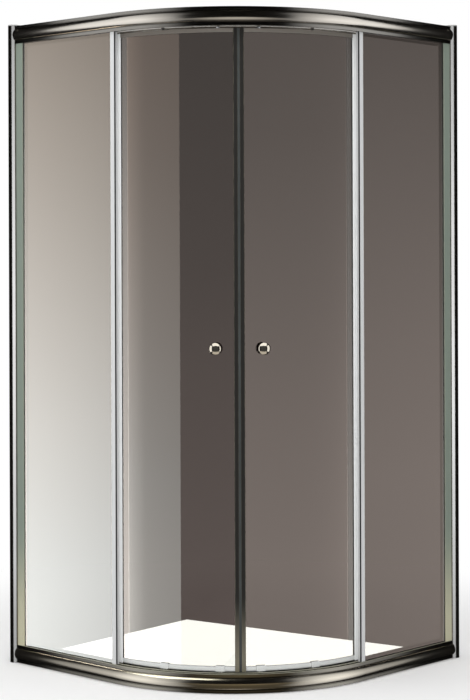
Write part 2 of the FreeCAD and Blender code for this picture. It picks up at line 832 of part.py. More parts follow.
# Rollers: hanger blocks, axles, studs, nuts and wheels; guide shoes, pins and rollers below
def make_hanger(label, turn):
    body = new_body(label, turn=f"-{turn}")
    section = rectangle("track_radius - hanger_depth / 2", "hanger_base",
                        "track_radius + hanger_depth / 2", "hanger_base + hanger_height")
    pad(body, outline(body, "XZ_Plane", section), "hanger_length", both=True)
    drill(body, "YZ_Plane", [("0", "axle_height")], "axle_radius + fit_gap", "2 * hanger_depth",
          offset="track_radius", both=True)
    drill(body, "XY_Plane", [("track_radius", "0")], "stud_radius + fit_gap", "stud_bite + overrun",
          offset="hanger_base", back=True)
    return body


def make_axle(label, turn):
    """A pin through the block, with a head outside each wheel."""
    body = new_body(label, turn=f"-{turn}", lift="axle_height")
    reach = "(hanger_depth / 2 + wheel_gap + wheel_width + slide_gap)"
    near_head = f"track_radius - {reach}"
    far_head = f"track_radius + {reach}"
    half = [
        (f"{near_head} - axle_head", "0"), (f"{near_head} - axle_head", "axle_head_radius"),
        (near_head, "axle_head_radius"), (near_head, "axle_radius"), (far_head, "axle_radius"),
        (far_head, "axle_head_radius"), (f"{far_head} + axle_head", "axle_head_radius"),
        (f"{far_head} + axle_head", "0"),
    ]
    revolve(body, outline(body, "XZ_Plane", half), "X_Axis")
    return body


def make_wheel(label, turn, side):
    """A wheel beside the block: bored hub, dished web and rim."""
    body = new_body(label, turn=f"-{turn}", lift="axle_height")

    def out(distance):
        return f"track_radius {side} (hanger_depth / 2 + wheel_gap + {distance})"

    bore = "axle_radius + slide_gap"
    rim = "wheel_radius - wheel_rim"
    half = [
        (out("0"), bore), (out("0"), "wheel_radius"), (out("wheel_width"), "wheel_radius"),
        (out("wheel_width"), rim), (out("wheel_width - wheel_recess"), rim),
        (out("wheel_width - wheel_recess"), "hub_radius"), (out("wheel_width"), "hub_radius"),
        (out("wheel_width"), bore),
    ]
    revolve(body, outline(body, "XZ_Plane", half), "X_Axis")
    return body


def make_stud(label, turn):
    """A headless stud from the carrier's web up into the hanger block."""
    body = new_body(label, turn=f"-{turn}")
    sketch = new_sketch(body, "XY_Plane", "carrier_top - carrier_web")
    add_circle(sketch, "track_radius", "0", "stud_radius")
    pad(body, sketch, "hanger_base + stud_bite - (carrier_top - carrier_web)")
    return body


def make_nut(label, turn):
    """A hexagon nut that locks the stud on the carrier."""
    body = new_body(label, turn=f"-{turn}")
    sketch = new_sketch(body, "XY_Plane", "carrier_top")
    corners = [(f"track_radius + nut_radius * cos({60 * k})",
                "0" if k % 3 == 0 else f"nut_radius * sin({60 * k})") for k in range(6)]
    add_loop(sketch, corners)
    add_circle(sketch, "track_radius", "0", "stud_radius + fit_gap")
    pad(body, sketch, "nut_height")
    return body


def make_shoe(label, turn):
    """A clear shoe under the glass edge, bored for the guide pin."""
    body = new_body(label, turn=f"-{turn}")
    inner = "track_radius - shoe_depth / 2"
    outer = "track_radius + shoe_depth / 2"
    glass_in = "track_radius - glass_thickness / 2 - shoe_sag - bond_gap"
    glass_out = "track_radius + glass_thickness / 2 + bond_gap"
    top = "glass_base + shoe_leg"
    floor = "glass_base - fit_gap"
    section = [(inner, "shoe_base"), (outer, "shoe_base"), (outer, top), (glass_out, top),
               (glass_out, floor), (glass_in, floor), (glass_in, top), (inner, top)]
    pad(body, outline(body, "XZ_Plane", section), "shoe_length", both=True)
    drill(body, "XY_Plane", [("track_radius", "0")], "pin_radius + fit_gap", "pin_bite + fit_gap",
          offset="shoe_base", back=True)
    return body


def make_pin(label, turn):
    """The pin that carries a guide roller, with a head under it."""
    body = new_body(label)
    head_top = "roller_top - roller_height - slide_gap"
    half = [
        ("0", f"{head_top} - pin_head"), ("pin_head_radius", f"{head_top} - pin_head"),
        ("pin_head_radius", head_top), ("pin_radius", head_top), ("pin_radius", "shoe_base + pin_bite"),
        ("0", "shoe_base + pin_bite"),
    ]
    revolve(body, outline(body, "XZ_Plane", half), "Z_Axis")
    return put(body, *station_point(turn), "0")


def make_roller(label, turn):
    body = new_body(label)
    half = rectangle("pin_radius + slide_gap", "roller_top - roller_height", "roller_radius", "roller_top")
    revolve(body, outline(body, "XZ_Plane", half), "Z_Axis")
    return put(body, *station_point(turn), "0")


def shared(name, maker):
    """The same piece at both stations of a door, in one node."""
    pieces = [maker(f"{name}_{station}", turn) for station, turn in STATIONS.items()]
    both_sides(name, group("right_" + name, pieces))


shared("hanger_blocks", make_hanger)
shared("wheel_axles", make_axle)
shared("hanger_studs", make_stud)
shared("hanger_nuts", make_nut)
shared("guide_shoes", make_shoe)
shared("guide_pins", make_pin)
for station, turn in STATIONS.items():
    pair = [make_wheel(f"{station}_wheel_{word}", turn, side) for word, side in (("near", "-"), ("far", "+"))]
    both_sides(f"{station}_wheels", group(f"right_{station}_wheels", pair))
    both_sides(f"{station}_guide_roller", make_roller(f"right_{station}_guide_roller", turn))


# Knobs: one each side of the glass, drawn together by a stud
def make_knob(label, side):
    """A turned knob: flange, neck, trumpet flare, rim and domed face, bored for the stud."""
    body = new_body(label, turn="-knob_turn", lift="knob_height")

    def out(distance):
        return f"track_radius {side} (knob_seat + {distance})"

    bore = "knob_stud_radius + fit_gap"
    neck_end = "flange_height + neck_length"
    half = [
        (out("0"), bore), (out("0"), "flange_radius"), (out("flange_height"), "flange_radius"),
        (out("flange_height"), "neck_radius"), (out(neck_end), "neck_radius", out(neck_end)),
        (out(f"{neck_end} + knob_flare"), "knob_radius"),
        (out("knob_crown"), "knob_radius", out("knob_length - dome_curve")), (out("knob_length"), "0"),
        (out("knob_stud_bite + overrun"), "0"), (out("knob_stud_bite + overrun"), bore),
    ]
    revolve(body, outline(body, "XZ_Plane", half), "X_Axis")
    return body


def make_knob_stud():
    body = new_body("right_knob_stud", turn="-knob_turn", lift="knob_height")
    reach = "(knob_seat + knob_stud_bite)"
    half = rectangle(f"track_radius - {reach}", "0", f"track_radius + {reach}", "knob_stud_radius")
    revolve(body, outline(body, "XZ_Plane", half), "X_Axis")
    return body


def make_washer(label, side):
    body = new_body(label, turn="-knob_turn", lift="knob_height")
    face = f"track_radius {side} (knob_seat - washer_height)"
    half = rectangle(face, "knob_stud_radius + fit_gap", f"track_radius {side} knob_seat", "flange_radius")
    revolve(body, outline(body, "XZ_Plane", half), "X_Axis")
    return body


both_sides("knob_outer", make_knob("right_knob_outer", "+"))
both_sides("knob_inner", make_knob("right_knob_inner", "-"))
both_sides("knob_stud", make_knob_stud())
both_sides("knob_washers", group("right_knob_washers", [make_washer("washer_in", "-"),
                                                        make_washer("washer_out", "+")]))

# Check every object, then write one file per node
doc.recompute()
for thing in doc.Objects:
    if "Invalid" in thing.State or "Error" in thing.State:
        raise RuntimeError(f"{thing.Label} failed: {thing.State}")
for node in nodes:
    if node.Shape.isNull() or not node.Shape.isValid():
        raise RuntimeError(f"{node.Label} has no valid shape")
os.makedirs("parts", exist_ok=True)
for node in nodes:
    node.Shape.exportStep(f"parts/{node.Label}.step")
    print(node.Label, len(node.Shape.Solids), "solid(s),", round(node.Shape.Volume), "mm3")
print(len(nodes), "nodes")
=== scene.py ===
# %% [markdown]
# # A corner shower enclosure, dressed for its portrait
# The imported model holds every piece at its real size. This lesson keeps those places, gives the long polished
# profiles and the bent glass fine smooth surfaces, and then paints, lights and frames the whole.

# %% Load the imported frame
import math

import bpy
import numpy as np
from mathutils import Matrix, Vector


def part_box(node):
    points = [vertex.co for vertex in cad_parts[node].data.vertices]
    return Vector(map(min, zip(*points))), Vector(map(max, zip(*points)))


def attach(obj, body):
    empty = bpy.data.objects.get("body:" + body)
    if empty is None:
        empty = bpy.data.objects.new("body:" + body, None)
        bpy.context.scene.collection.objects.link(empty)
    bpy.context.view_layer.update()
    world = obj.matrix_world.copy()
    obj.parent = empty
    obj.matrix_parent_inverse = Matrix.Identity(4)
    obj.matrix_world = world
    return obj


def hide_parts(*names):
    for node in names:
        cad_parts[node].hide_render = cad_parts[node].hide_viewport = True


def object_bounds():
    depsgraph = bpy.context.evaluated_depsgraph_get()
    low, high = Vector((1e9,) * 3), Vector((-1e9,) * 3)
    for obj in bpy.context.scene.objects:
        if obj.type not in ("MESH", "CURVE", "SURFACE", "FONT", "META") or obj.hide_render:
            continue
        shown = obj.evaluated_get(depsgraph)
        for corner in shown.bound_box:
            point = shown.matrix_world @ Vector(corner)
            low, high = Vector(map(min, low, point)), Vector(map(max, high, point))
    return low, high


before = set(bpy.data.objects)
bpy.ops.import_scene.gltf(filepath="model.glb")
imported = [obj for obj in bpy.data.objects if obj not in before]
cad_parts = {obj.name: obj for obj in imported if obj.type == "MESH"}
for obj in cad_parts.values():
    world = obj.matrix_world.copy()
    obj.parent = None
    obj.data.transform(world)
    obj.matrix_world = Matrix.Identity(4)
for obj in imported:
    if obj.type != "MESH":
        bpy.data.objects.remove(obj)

cad_low, cad_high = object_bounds()
print("frame:", len(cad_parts), "nodes, top at", round(cad_high.z, 3), "m")

# %% [markdown]
# ## The few sizes that everything follows
# All radii are measured from the centre of the front arc, and the same numbers serve on the straight panels. That
# centre lies a little off the middle of the plan, towards both walls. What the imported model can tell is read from
# it; the arc and the wall thicknesses of the profiles are named here.

# %% Sizes of the frame, in metres
nose_reach = 0.480
plan_shift = nose_reach - cad_high.x
arc_centre = np.array([-plan_shift, plan_shift, 0.0])


def box_of(node):
    """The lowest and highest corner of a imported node, measured from the centre of the arc."""
    return np.array([list(corner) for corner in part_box(node)]) - arc_centre


rail_height = box_of("bottom_rail")[1, 2]
top_rail_base = box_of("top_rail")[1, 2] - rail_height
rail_end = box_of("top_rail")[1, 1]
wall_plane = cad_high.y - plan_shift
nose_depth = 0.010
lip_height = 0.008
face_line = 0.0015
face_wall = 0.005
glass_groove = 0.010
groove_depth = 0.016
rail_web = 0.0025
channel_width = 0.030
lip_radius = nose_reach - nose_depth
groove_outer = lip_radius - face_wall
groove_inner = groove_outer - glass_groove
channel_outer = groove_inner - rail_web
channel_inner = channel_outer - channel_width
track_radius = (channel_outer + channel_inner) / 2
rail_inner = channel_inner - rail_web
print("rail section", round(nose_reach - rail_inner, 4), "m deep, track at", round(track_radius, 4), "m")

# %% [markdown]
# ## Rounding an outline
# No extruded edge is a knife edge: the die leaves a small radius, and that radius is what catches the light. The
# bevel modifier could do it, but a long thin profile keeps cleaner faces if the outline itself is rounded before it
# is carried along its path.


# %% Outlines
def stepped(*levels):
    """Corners of an outline whose edges run across and up by turns, from the levels x, y, x, y and so on.

    The corners are (x0, y0), (x1, y0), (x1, y1), (x2, y1): each one changes a single level.
    """
    return [(b, a) if place % 2 else (a, b) for place, (a, b) in enumerate(zip(levels, levels[1:]))]


def rounded(corners, radius, steps=4):
    """Round the corners of a closed outline, and say which points lie on a convex edge.

    A corner P turns into the curve (1-t)^2 A + 2t(1-t) P + t^2 B, where A and B lie on its two edges, a rounding
    distance away but never past a set share of an edge. A guard point beyond each end keeps the flats flat.
    """
    edge_share, guard, same_place = 0.35, 1.3, 1e-7
    corner = np.asarray(corners, float)
    back, ahead = np.roll(corner, 1, 0) - corner, np.roll(corner, -1, 0) - corner
    back_run, ahead_run = np.linalg.norm(back, axis=1), np.linalg.norm(ahead, axis=1)
    reach = np.minimum(np.broadcast_to(radius, len(corner)), edge_share * np.minimum(back_run, ahead_run))
    start, end = (back / back_run[:, None])[:, None], (ahead / ahead_run[:, None])[:, None]
    t = np.linspace(0, 1, steps)[None, :, None]
    step = reach[:, None, None]
    middle = corner[:, None]
    bend = middle + (1 - t) ** 2 * step * start + t ** 2 * step * end
    points = np.concatenate([middle + guard * step * start, bend, middle + guard * step * end], 1)
    area = np.sum(corner[:, 0] * np.roll(corner[:, 1], -1) - corner[:, 1] * np.roll(corner[:, 0], -1))
    turn = ahead[:, 0] * back[:, 1] - ahead[:, 1] * back[:, 0]
    convex = (turn * area > 0) & (reach > 0)
    edge = np.zeros(points.shape[:2])
    edge[:, 1:-1] = convex[:, None]
    points, edge = points.reshape(-1, 2), edge.ravel()
    apart = np.linalg.norm(points - np.roll(points, 1, 0), axis=1) > same_place
    return points[apart], edge[apart]


def bulge(start, end, height, steps):
    """The inner points of an arc from start to end that stands out by a height, to the right of its chord.

    Its radius is (half chord squared plus height squared) over twice the height.
    """
    start, end = np.array(start), np.array(end)
    chord = end - start
    half = np.linalg.norm(chord) / 2
    curve = (half ** 2 + height ** 2) / (2 * height)
    along = chord / (2 * half)
    out = np.array([along[1], -along[0]])
    centre = (start + end) / 2 + (height - curve) * out
    span = math.asin(half / curve)
    turn = np.linspace(-span, span, steps)[1:-1, None]
    return centre + curve * (np.sin(turn) * along + np.cos(turn) * out)


# %% [markdown]
# ## From a grid of points to a mesh
# Every new piece is a grid: its rows follow a path and its columns go round a section. One function turns any such
# grid into a closed mesh. It also stores two things that the finishes need: a map in metres that flows along the
# piece, and a mark on the rounded edges where a finish wears first.


# %% Skin a grid
def mark(piece, name, section):
    """Store one value for each point of a section, the same in every row."""
    points = len(piece.data.vertices)
    values = np.tile(section, points // len(section)).astype(np.float32)
    piece.data.attributes.new(name, "FLOAT", "POINT").data.foreach_set("value", values)


def walked(grid, axis):
    """The length walked along one axis of a grid: the running sum of its steps, as a mean over the other axis."""
    steps = np.linalg.norm(np.diff(grid, axis=axis), axis=2).mean(1 - axis)
    return np.concatenate([[0], np.cumsum(steps)])


def skin(name, grid, edge=None):
    """Join neighbouring rows and columns with four-sided faces, and close both ends with one face each.

    The last column meets the first. The faces are turned round if the sum of corner volumes says that they look
    inwards.
    """
    rows, columns = grid.shape[:2]
    index = np.arange(rows * columns).reshape(rows, columns)
    lower, upper = index[:-1], index[1:]
    quads = np.stack([lower, np.roll(lower, -1, 1), np.roll(upper, -1, 1), upper], -1)
    points = grid.reshape(-1, 3)
    a, b, c, d = (points - points.mean(0))[quads.reshape(-1, 4)].transpose(1, 0, 2)
    inwards = np.sum(np.cross(a, b) * c) + np.sum(np.cross(a, c) * d) < 0
    along, across = walked(grid, 0), walked(np.concatenate([grid, grid[:, :1]], 1), 1)
    u = np.broadcast_to(np.stack([along[:-1], along[:-1], along[1:], along[1:]], -1)[:, None], quads.shape)
    v = np.broadcast_to(np.stack([across[:-1], across[1:], across[1:], across[:-1]], -1)[None], quads.shape)
    flow = np.stack([u, v], -1)
    ends = [index[0, ::-1].tolist(), index[-1].tolist()]
    if inwards:
        quads, flow = quads[:, :, ::-1], flow[:, :, ::-1]
        ends = [end[::-1] for end in ends]
    mesh = bpy.data.meshes.new(name)
    mesh.from_pydata(points + arc_centre, [], quads.reshape(-1, 4).tolist() + ends)
    layer = mesh.uv_layers.new(name="flow")
    loops = np.zeros((len(mesh.loops), 2), np.float32)
    loops[:quads.size] = flow.reshape(-1, 2)
    layer.data.foreach_set("uv", loops.ravel())
    crease = math.radians(40)
    mesh.shade_smooth()
    mesh.set_sharp_from_angle(angle=crease)
    piece = bpy.data.objects.new(name, mesh)
    bpy.context.scene.collection.objects.link(piece)
    mark(piece, "edge", np.zeros(columns) if edge is None else edge)
    return piece


# %% Paths, sides and bodies
SIDES = ("right", "left")


def arc_path(start, end, steps):
    """Stations of (base x, base y, turn) on the front arc: its base is the centre, so only the turn changes."""
    turns = np.linspace(start, end, steps)
    return np.stack([np.zeros(steps), np.zeros(steps), turns], -1)


def carried(outline, stations):
    """Carry a section of (distance, height) past stations: base plus distance times (cos turn, sin turn)."""
    section, edge = outline
    out = np.stack([np.cos(stations[:, 2]), np.sin(stations[:, 2])], -1)
    plan = stations[:, None, :2] + section[None, :, :1] * out[:, None]
    height = np.broadcast_to(section[:, 1], plan.shape[:2])
    return np.dstack([plan, height]), edge


def raised(outline, low, high):
    """Carry a plan outline straight up from one level to another."""
    plan, edge = outline
    levels = np.array([low, high])
    grid = np.zeros((len(levels), len(plan), 3))
    grid[:, :, :2] = plan
    grid[:, :, 2] = levels[:, None]
    return grid, edge


def on_side(side, grid):
    """Keep a right-hand grid, or mirror it in the upright plane through the corner: (x, y) becomes (-y, -x)."""
    return grid if side == "right" else grid[..., [1, 0, 2]] * np.array([-1, -1, 1])


def dress(piece, body, material, slot, *nodes):
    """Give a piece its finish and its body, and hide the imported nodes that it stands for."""
    piece.data.materials.append(material)
    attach(piece, body)
    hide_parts(*nodes)
    print(piece.name, len(piece.data.polygons), "faces")


def pair(name, node, shape, material, slot, on_door=False, lip=None):
    """Skin and dress a right-hand shape (grid, edge marks) and its mirror image, on the frame or on the doors."""
    grid, edge = shape
    for side in SIDES:
        piece = skin(f"{side}_{name}", on_side(side, grid), edge)
        if lip is not None:
            mark(piece, "lip", lip)
        dress(piece, f"{side}_door" if on_door else "frame", material, slot, f"{side}_{node}")


# %% [markdown]
# ## Shared effects
# Three small node groups serve most finishes. Drawn lines are the faint streaks that a die or a brush leaves along
# a profile, read from the flowing map. Clouds are slow uneven patches, read from the place in space. Worn edges
# take the mark on the rounded edges and break it up a little. A painted picture could do the same for one piece; a
# group does it for all, each with its own values.


# %% Node helpers
def put(tree, node, inputs):
    """Give each named input of a node a value, or a link from another node's output."""
    for key, given in inputs.items():
        if isinstance(given, bpy.types.NodeSocket):
            tree.links.new(given, node.inputs[key])
        else:
            node.inputs[key].default_value = given


def add(tree, kind, inputs=None, **settings):
    """Add a shader node of some kind, set its properties and fill its inputs."""
    node = tree.nodes.new("ShaderNode" + kind)
    for key, setting in settings.items():
        setattr(node, key, setting)
    put(tree, node, inputs or {})
    return node


def joined(tree, one, other, operation="MULTIPLY"):
    """Two values joined by an operation: their product, unless another is named. A test gives one or nothing."""
    return add(tree, "Math", {0: one, 1: other}, operation=operation).outputs["Value"]


def ramp(tree, value, low=0.0, high=1.0, start=0.0, end=1.0, curve="LINEAR"):
    """Run from low to high while a value runs from start to end, evenly or by the smooth step 3t^2 - 2t^3."""
    limits = {"Value": value, "From Min": start, "From Max": end, "To Min": low, "To Max": high}
    return add(tree, "MapRange", limits, interpolation_type=curve).outputs["Result"]


def stored(tree, name):
    """The value that the points of a piece carry under a name."""
    return add(tree, "Attribute", attribute_name=name).outputs["Fac"]


def place_in(tree):
    """The place in space of the point that is shaded."""
    return add(tree, "TexCoord").outputs["Object"]


def new_group(name, inputs, output):
    """An empty node group with float inputs and one result."""
    tree = bpy.data.node_groups.new(name, "ShaderNodeTree")
    for label, number in inputs.items():
        tree.interface.new_socket(label, in_out="INPUT", socket_type="NodeSocketFloat").default_value = number
    tree.interface.new_socket(output, in_out="OUTPUT", socket_type="NodeSocketFloat")
    return tree, tree.nodes.new("NodeGroupInput").outputs, tree.nodes.new("NodeGroupOutput")


def use(tree, group, **values):
    """Place a group in a material with its own values, and give its result."""
    return add(tree, "Group", values, node_tree=group).outputs[0]


# %% Drawn lines, clouds and worn edges
def make_drawn_lines():
    """Noise of the flowing map, stretched far along the piece and squeezed across it."""
    tree, given, result = new_group("drawn_lines", {"Along": 2.0, "Across": 900.0}, "Lines")
    flow = add(tree, "UVMap", uv_map="flow").outputs["UV"]
    squeeze = add(tree, "CombineXYZ", {"X": given["Along"], "Y": given["Across"]}).outputs["Vector"]
    scaled = add(tree, "VectorMath", {0: flow, 1: squeeze}, operation="MULTIPLY").outputs["Vector"]
    noise = add(tree, "TexNoise", {"Vector": scaled, "Scale": 1.0, "Detail": 3.0, "Roughness": 0.6})
    put(tree, result, {"Lines": noise.outputs["Fac"]})
    return tree


def make_clouds():
    """Soft noise of the place in space, stretched to run from nothing to one."""
    tree, given, result = new_group("clouds", {"Scale": 4.0, "Detail": 3.0}, "Cloud")
    noise = add(tree, "TexNoise", {"Vector": place_in(tree), "Scale": given["Scale"], "Detail": given["Detail"],
                                   "Roughness": 0.55})
    put(tree, result, {"Cloud": ramp(tree, noise.outputs["Fac"], start=0.3, end=0.7)})
    return tree


def make_worn_edges():
    """The mark on the rounded edges, times patchy noise, times an amount."""
    tree, given, result = new_group("worn_edges", {"Scale": 60.0, "Amount": 1.0}, "Wear")
    noise = add(tree, "TexNoise", {"Vector": place_in(tree), "Scale": given["Scale"], "Detail": 2.0})
    patch = ramp(tree, noise.outputs["Fac"], low=0.35, start=0.35, end=0.6)
    broken = joined(tree, stored(tree, "edge"), patch)
    put(tree, result, {"Wear": joined(tree, broken, given["Amount"])})
    return tree


drawn_lines, clouds, worn_edges = make_drawn_lines(), make_clouds(), make_worn_edges()
print("groups:", [group.name for group in bpy.data.node_groups])


# %% Colour, bump and surface
def new_finish(name, **sockets):
    """A material whose surface shader has these plain values."""
    material = bpy.data.materials.new(name)
    material.use_nodes = True
    tree = material.node_tree
    shader = tree.nodes["Principled BSDF"]
    put(tree, shader, {key.replace("_", " "): number for key, number in sockets.items()})
    return material, tree, shader


def blend(tree, mask, low, high):
    """A colour between two others, by a mask. Each end is a colour or another node's colour."""
    low, high = ((*end, 1.0) if isinstance(end, tuple) else end for end in (low, high))
    return add(tree, "Mix", {"Factor": mask, 6: low, 7: high}, data_type="RGBA").outputs[2]


def emboss(tree, pattern, height):
    """A bump of some height, in metres, by which a pattern shapes the surface."""
    return add(tree, "Bump", {"Strength": 1.0, "Distance": height, "Height": pattern}).outputs["Normal"]


def either_surface(tree, share, one, other):
    """Show one shader where a share is nothing, and the other where it is one."""
    mix = add(tree, "MixShader", {"Fac": share, 1: one, 2: other})
    put(tree, tree.nodes["Material Output"], {"Surface": mix.outputs["Shader"]})


# %% [markdown]
# ## Buffed and brushed bronze
# The frame is anodised aluminium in a dark bronze. Round faces are buffed until they mirror the studio: what the
# eye reads as black and cream bands is reflection, so the colour itself is a plain warm brown. The thin lips beside
# the nose are painted darker, as painted shade, and the top face of the bottom rail is left satin and looks olive.
# A material for each face would leave hard joins, so marks on the points say which is which. Faint lines along the
# profile blur the mirror, slow clouds shift the tone, and rounded edges are rubbed brighter. Strips, stiles and
# hanging profiles are brushed instead, and their tone turns with the height: the pale foot of strips and stiles
# is a painted reflection of the bright floor.


# %% Bronze finishes
def make_bronze(name, deep, bright, rubbed, olive, shaded):
    """Clouds mix a deep and a bright tone, wear adds a rubbed one, lips take a painted shade and satin faces olive.

    The roughness follows the drawn lines, times one on buffed faces and times two on satin ones.
    """
    material, tree, shader = new_finish(name)
    lines = use(tree, drawn_lines, Along=1.5, Across=1400.0)
    cloud = use(tree, clouds, Scale=2.5)
    wear = use(tree, worn_edges, Scale=45.0, Amount=0.25)
    satin, lip = stored(tree, "satin"), stored(tree, "lip")
    # Painted shade: the lip mark turns the thin lips beside the nose to the darker shaded tone.
    buffed = blend(tree, lip, blend(tree, wear, blend(tree, cloud, deep, bright), rubbed), shaded)
    put(tree, shader, {
        "Base Color": blend(tree, satin, buffed, olive), "Metallic": ramp(tree, satin, 1.0, 0.4),
        "Roughness": joined(tree, ramp(tree, lines, 0.13, 0.24), ramp(tree, satin, 1.0, 2.0)),
        "Normal": emboss(tree, lines, height=0.000003)})
    return material


def make_strip(name, foot, body, low, high, metallic):
    """Brushed anodising whose tone turns smoothly from the foot to above, between two heights, as painted
    reflection.
    """
    material, tree, shader = new_finish(name, Metallic=metallic)
    split = add(tree, "SeparateXYZ", {"Vector": place_in(tree)})
    # Painted reflection: the tone turns with the height, paler at the foot where strips and stiles would mirror the
    # floor.
    climb = ramp(tree, split.outputs["Z"], start=low, end=high, curve="SMOOTHSTEP")
    lines = use(tree, drawn_lines, Along=1.0, Across=900.0)
    wear = use(tree, worn_edges, Scale=45.0, Amount=0.4)
    put(tree, shader, {"Base Color": blend(tree, wear, blend(tree, climb, foot, body), foot),
                       "Roughness": ramp(tree, lines, 0.30, 0.45), "Normal": emboss(tree, lines, height=0.00002)})
    return material


# The shaded tone is painted shade for the thin lips beside the nose.
polished_bronze = make_bronze("polished_bronze", deep=(0.31, 0.27, 0.215), bright=(0.37, 0.33, 0.265),
                              rubbed=(0.55, 0.51, 0.43), olive=(0.22, 0.21, 0.155),
                              shaded=(0.129, 0.1165, 0.0953))
# The pale foot of the strip and the stile's dark body and pale foot are painted reflection.
strip_bronze = make_strip("strip_bronze", (0.78, 0.75, 0.54), (0.33, 0.39, 0.33), 0.06, 0.40, 0.3)
hanger_bronze = make_strip("hanger_bronze", (0.24, 0.215, 0.19), (0.27, 0.245, 0.215), 1.70, 1.75, 0.2)
stile_bronze = make_strip("stile_bronze", (0.30, 0.275, 0.205), (0.034, 0.032, 0.029), 0.04, 0.26, 0.3)
print("bronze:", polished_bronze.name, strip_bronze.name, hanger_bronze.name, stile_bronze.name)

# %% [markdown]
# ## Glass
# The panes are toughened glass with a smoky grey-brown body tint and polished, greener edges. Glass that really
# absorbs could use a volume, but a tinted surface renders cleaner. Shadow rays pass through a plain clear layer, so
# the light inside the cubicle stays soft. A faint film from wiping varies the gloss.


# %% Glass finish
def make_glass(name, body_tint, edge_tint, shade):
    """Clear transmission in a body tint, with another tint on the worn edges and a plain shade for shadow rays.

    The roughness runs from nothing to a trace with the film.
    """
    material, tree, shader = new_finish(name, Transmission_Weight=1.0, IOR=1.5)
    film = use(tree, clouds, Scale=6.0, Detail=5.0)
    wear = use(tree, worn_edges, Scale=8.0, Amount=1.0)
    tint = blend(tree, wear, body_tint, edge_tint)
    put(tree, shader, {"Base Color": tint, "Roughness": ramp(tree, film, 0.0, 0.02)})
    path = add(tree, "LightPath")
    clear = add(tree, "BsdfTransparent", {"Color": (*shade, 1.0)})
    either_surface(tree, path.outputs["Is Shadow Ray"], shader.outputs["BSDF"], clear.outputs["BSDF"])
    return material


smoked_glass = make_glass("smoked_glass", (0.059, 0.051, 0.0465), (0.12, 0.15, 0.135), (0.8, 0.79, 0.77))
print("glass:", smoked_glass.name)

# %% [markdown]
# ## Plastics, rubber and small metal
# Milky vinyl, grey caps, black rubber, nylon wheels and zinc or steel fittings all follow one recipe: two near
# colours mixed by clouds, a roughness range, and a grain as fine as the real moulding. The white edge seals are
# extruded, so they get drawn lines instead of grain. Those of the fixed panes are a darker copy of the vinyl, as
# painted shade, and have a painted shadow on the end face along the free edge, where the gap to the door seal lies.


# %% Plain finishes
def make_plain(name, low, high, smooth, rough, grain=300.0, height=0.00003, **sockets):
    """Clouds mix two near colours; finer specks set the roughness between two values and stand out as a grain."""
    material, tree, shader = new_finish(name, **sockets)
    cloud = use(tree, clouds, Scale=9.0)
    speck = use(tree, clouds, Scale=grain, Detail=1.0)
    put(tree, shader, {"Base Color": blend(tree, cloud, low, high), "Roughness": ramp(tree, speck, smooth, rough),
                       "Normal": emboss(tree, speck, height)})
    return material


def make_vinyl(name, body, edge_grey, gap_shadow_colour):
    """Soft white vinyl: faint extrusion lines, greyer on its rounded edges, and a painted gap shadow where marked.
    """
    material, tree, shader = new_finish(name, IOR=1.5)
    lines = use(tree, drawn_lines, Along=1.0, Across=500.0)
    wear = use(tree, worn_edges, Scale=5.0, Amount=0.8)
    line_shade = 0.96
    tone = blend(tree, lines, body, tuple(line_shade * part for part in body))
    # Greyer on the rounded edges, broken up by noise.
    worn = blend(tree, wear, tone, edge_grey)
    # Painted shadow: the lip mark turns the end face of a fixed-pane seal near black, as the shadow in the gap to
    # the door seal.
    put(tree, shader, {"Base Color": blend(tree, stored(tree, "lip"), worn, gap_shadow_colour),
                       "Roughness": ramp(tree, lines, 0.28, 0.40), "Normal": emboss(tree, lines, height=0.00002)})
    return material


# The fixed-pane seals take a darker copy of the white vinyl as painted shade; the door seals take the lighter copy.
panel_vinyl_painted_shade = make_vinyl("panel_vinyl_painted_shade", (0.70, 0.71, 0.71), (0.55, 0.56, 0.56), (0.03, 0.03, 0.03))
door_vinyl = make_vinyl("door_vinyl", (0.93, 0.94, 0.94), (0.80, 0.81, 0.81), (0.03, 0.03, 0.03))
magnet_vinyl = make_plain("magnet_vinyl", (0.070, 0.078, 0.077), (0.090, 0.100, 0.098), 0.35, 0.5)
milky_vinyl = make_plain("milky_vinyl", (0.87, 0.89, 0.88), (0.92, 0.94, 0.93), 0.25, 0.40)
grey_plastic = make_plain("grey_plastic", (0.36, 0.36, 0.35), (0.42, 0.42, 0.41), 0.40, 0.55)
black_rubber = make_plain("black_rubber", (0.022, 0.022, 0.022), (0.035, 0.035, 0.034), 0.55, 0.75)
white_nylon = make_plain("white_nylon", (0.78, 0.77, 0.73), (0.84, 0.83, 0.80), 0.35, 0.5)
cast_zinc = make_plain("cast_zinc", (0.42, 0.41, 0.39), (0.52, 0.51, 0.49), 0.35, 0.5, Metallic=1.0)
bright_steel = make_plain("bright_steel", (0.52, 0.52, 0.51), (0.62, 0.62, 0.61), 0.18, 0.3, Metallic=1.0)
print("finishes:", len(bpy.data.materials))

# %% [markdown]
# ## The two rails
# Each rail is one extrusion bent through a quarter circle between two straight runs. Its front is a half-round nose
# between two thin lips, with a fine line either side. The top rail hides the roller channel, the bottom rail a
# guide slot, and both have a groove for the fixed glass. A mesh modelled by hand would need many loops; carrying
# the true section along the true path gives every highlight for free.


# %% Rail sections
def nose_face(level):
    """The front of a rail from its opening edge: lip, line, half-round nose, line and lip."""
    nose_steps = 41
    sunk = lip_radius - face_line
    near, far = lip_height + face_line, rail_height - lip_height - face_line
    nose = bulge((lip_radius, near), (lip_radius, far), nose_depth, nose_steps)
    before = [(lip_radius, 0), *stepped(lip_radius, lip_height, sunk, near, lip_radius)]
    after = stepped(lip_radius, far, sunk, rail_height - lip_height, lip_radius, rail_height, rail_inner)
    points = np.concatenate([before, nose, after])
    smooth = np.zeros(len(points), bool)
    smooth[len(before):-len(after)] = True
    return np.stack([points[:, 0], level(points[:, 1])], -1), smooth


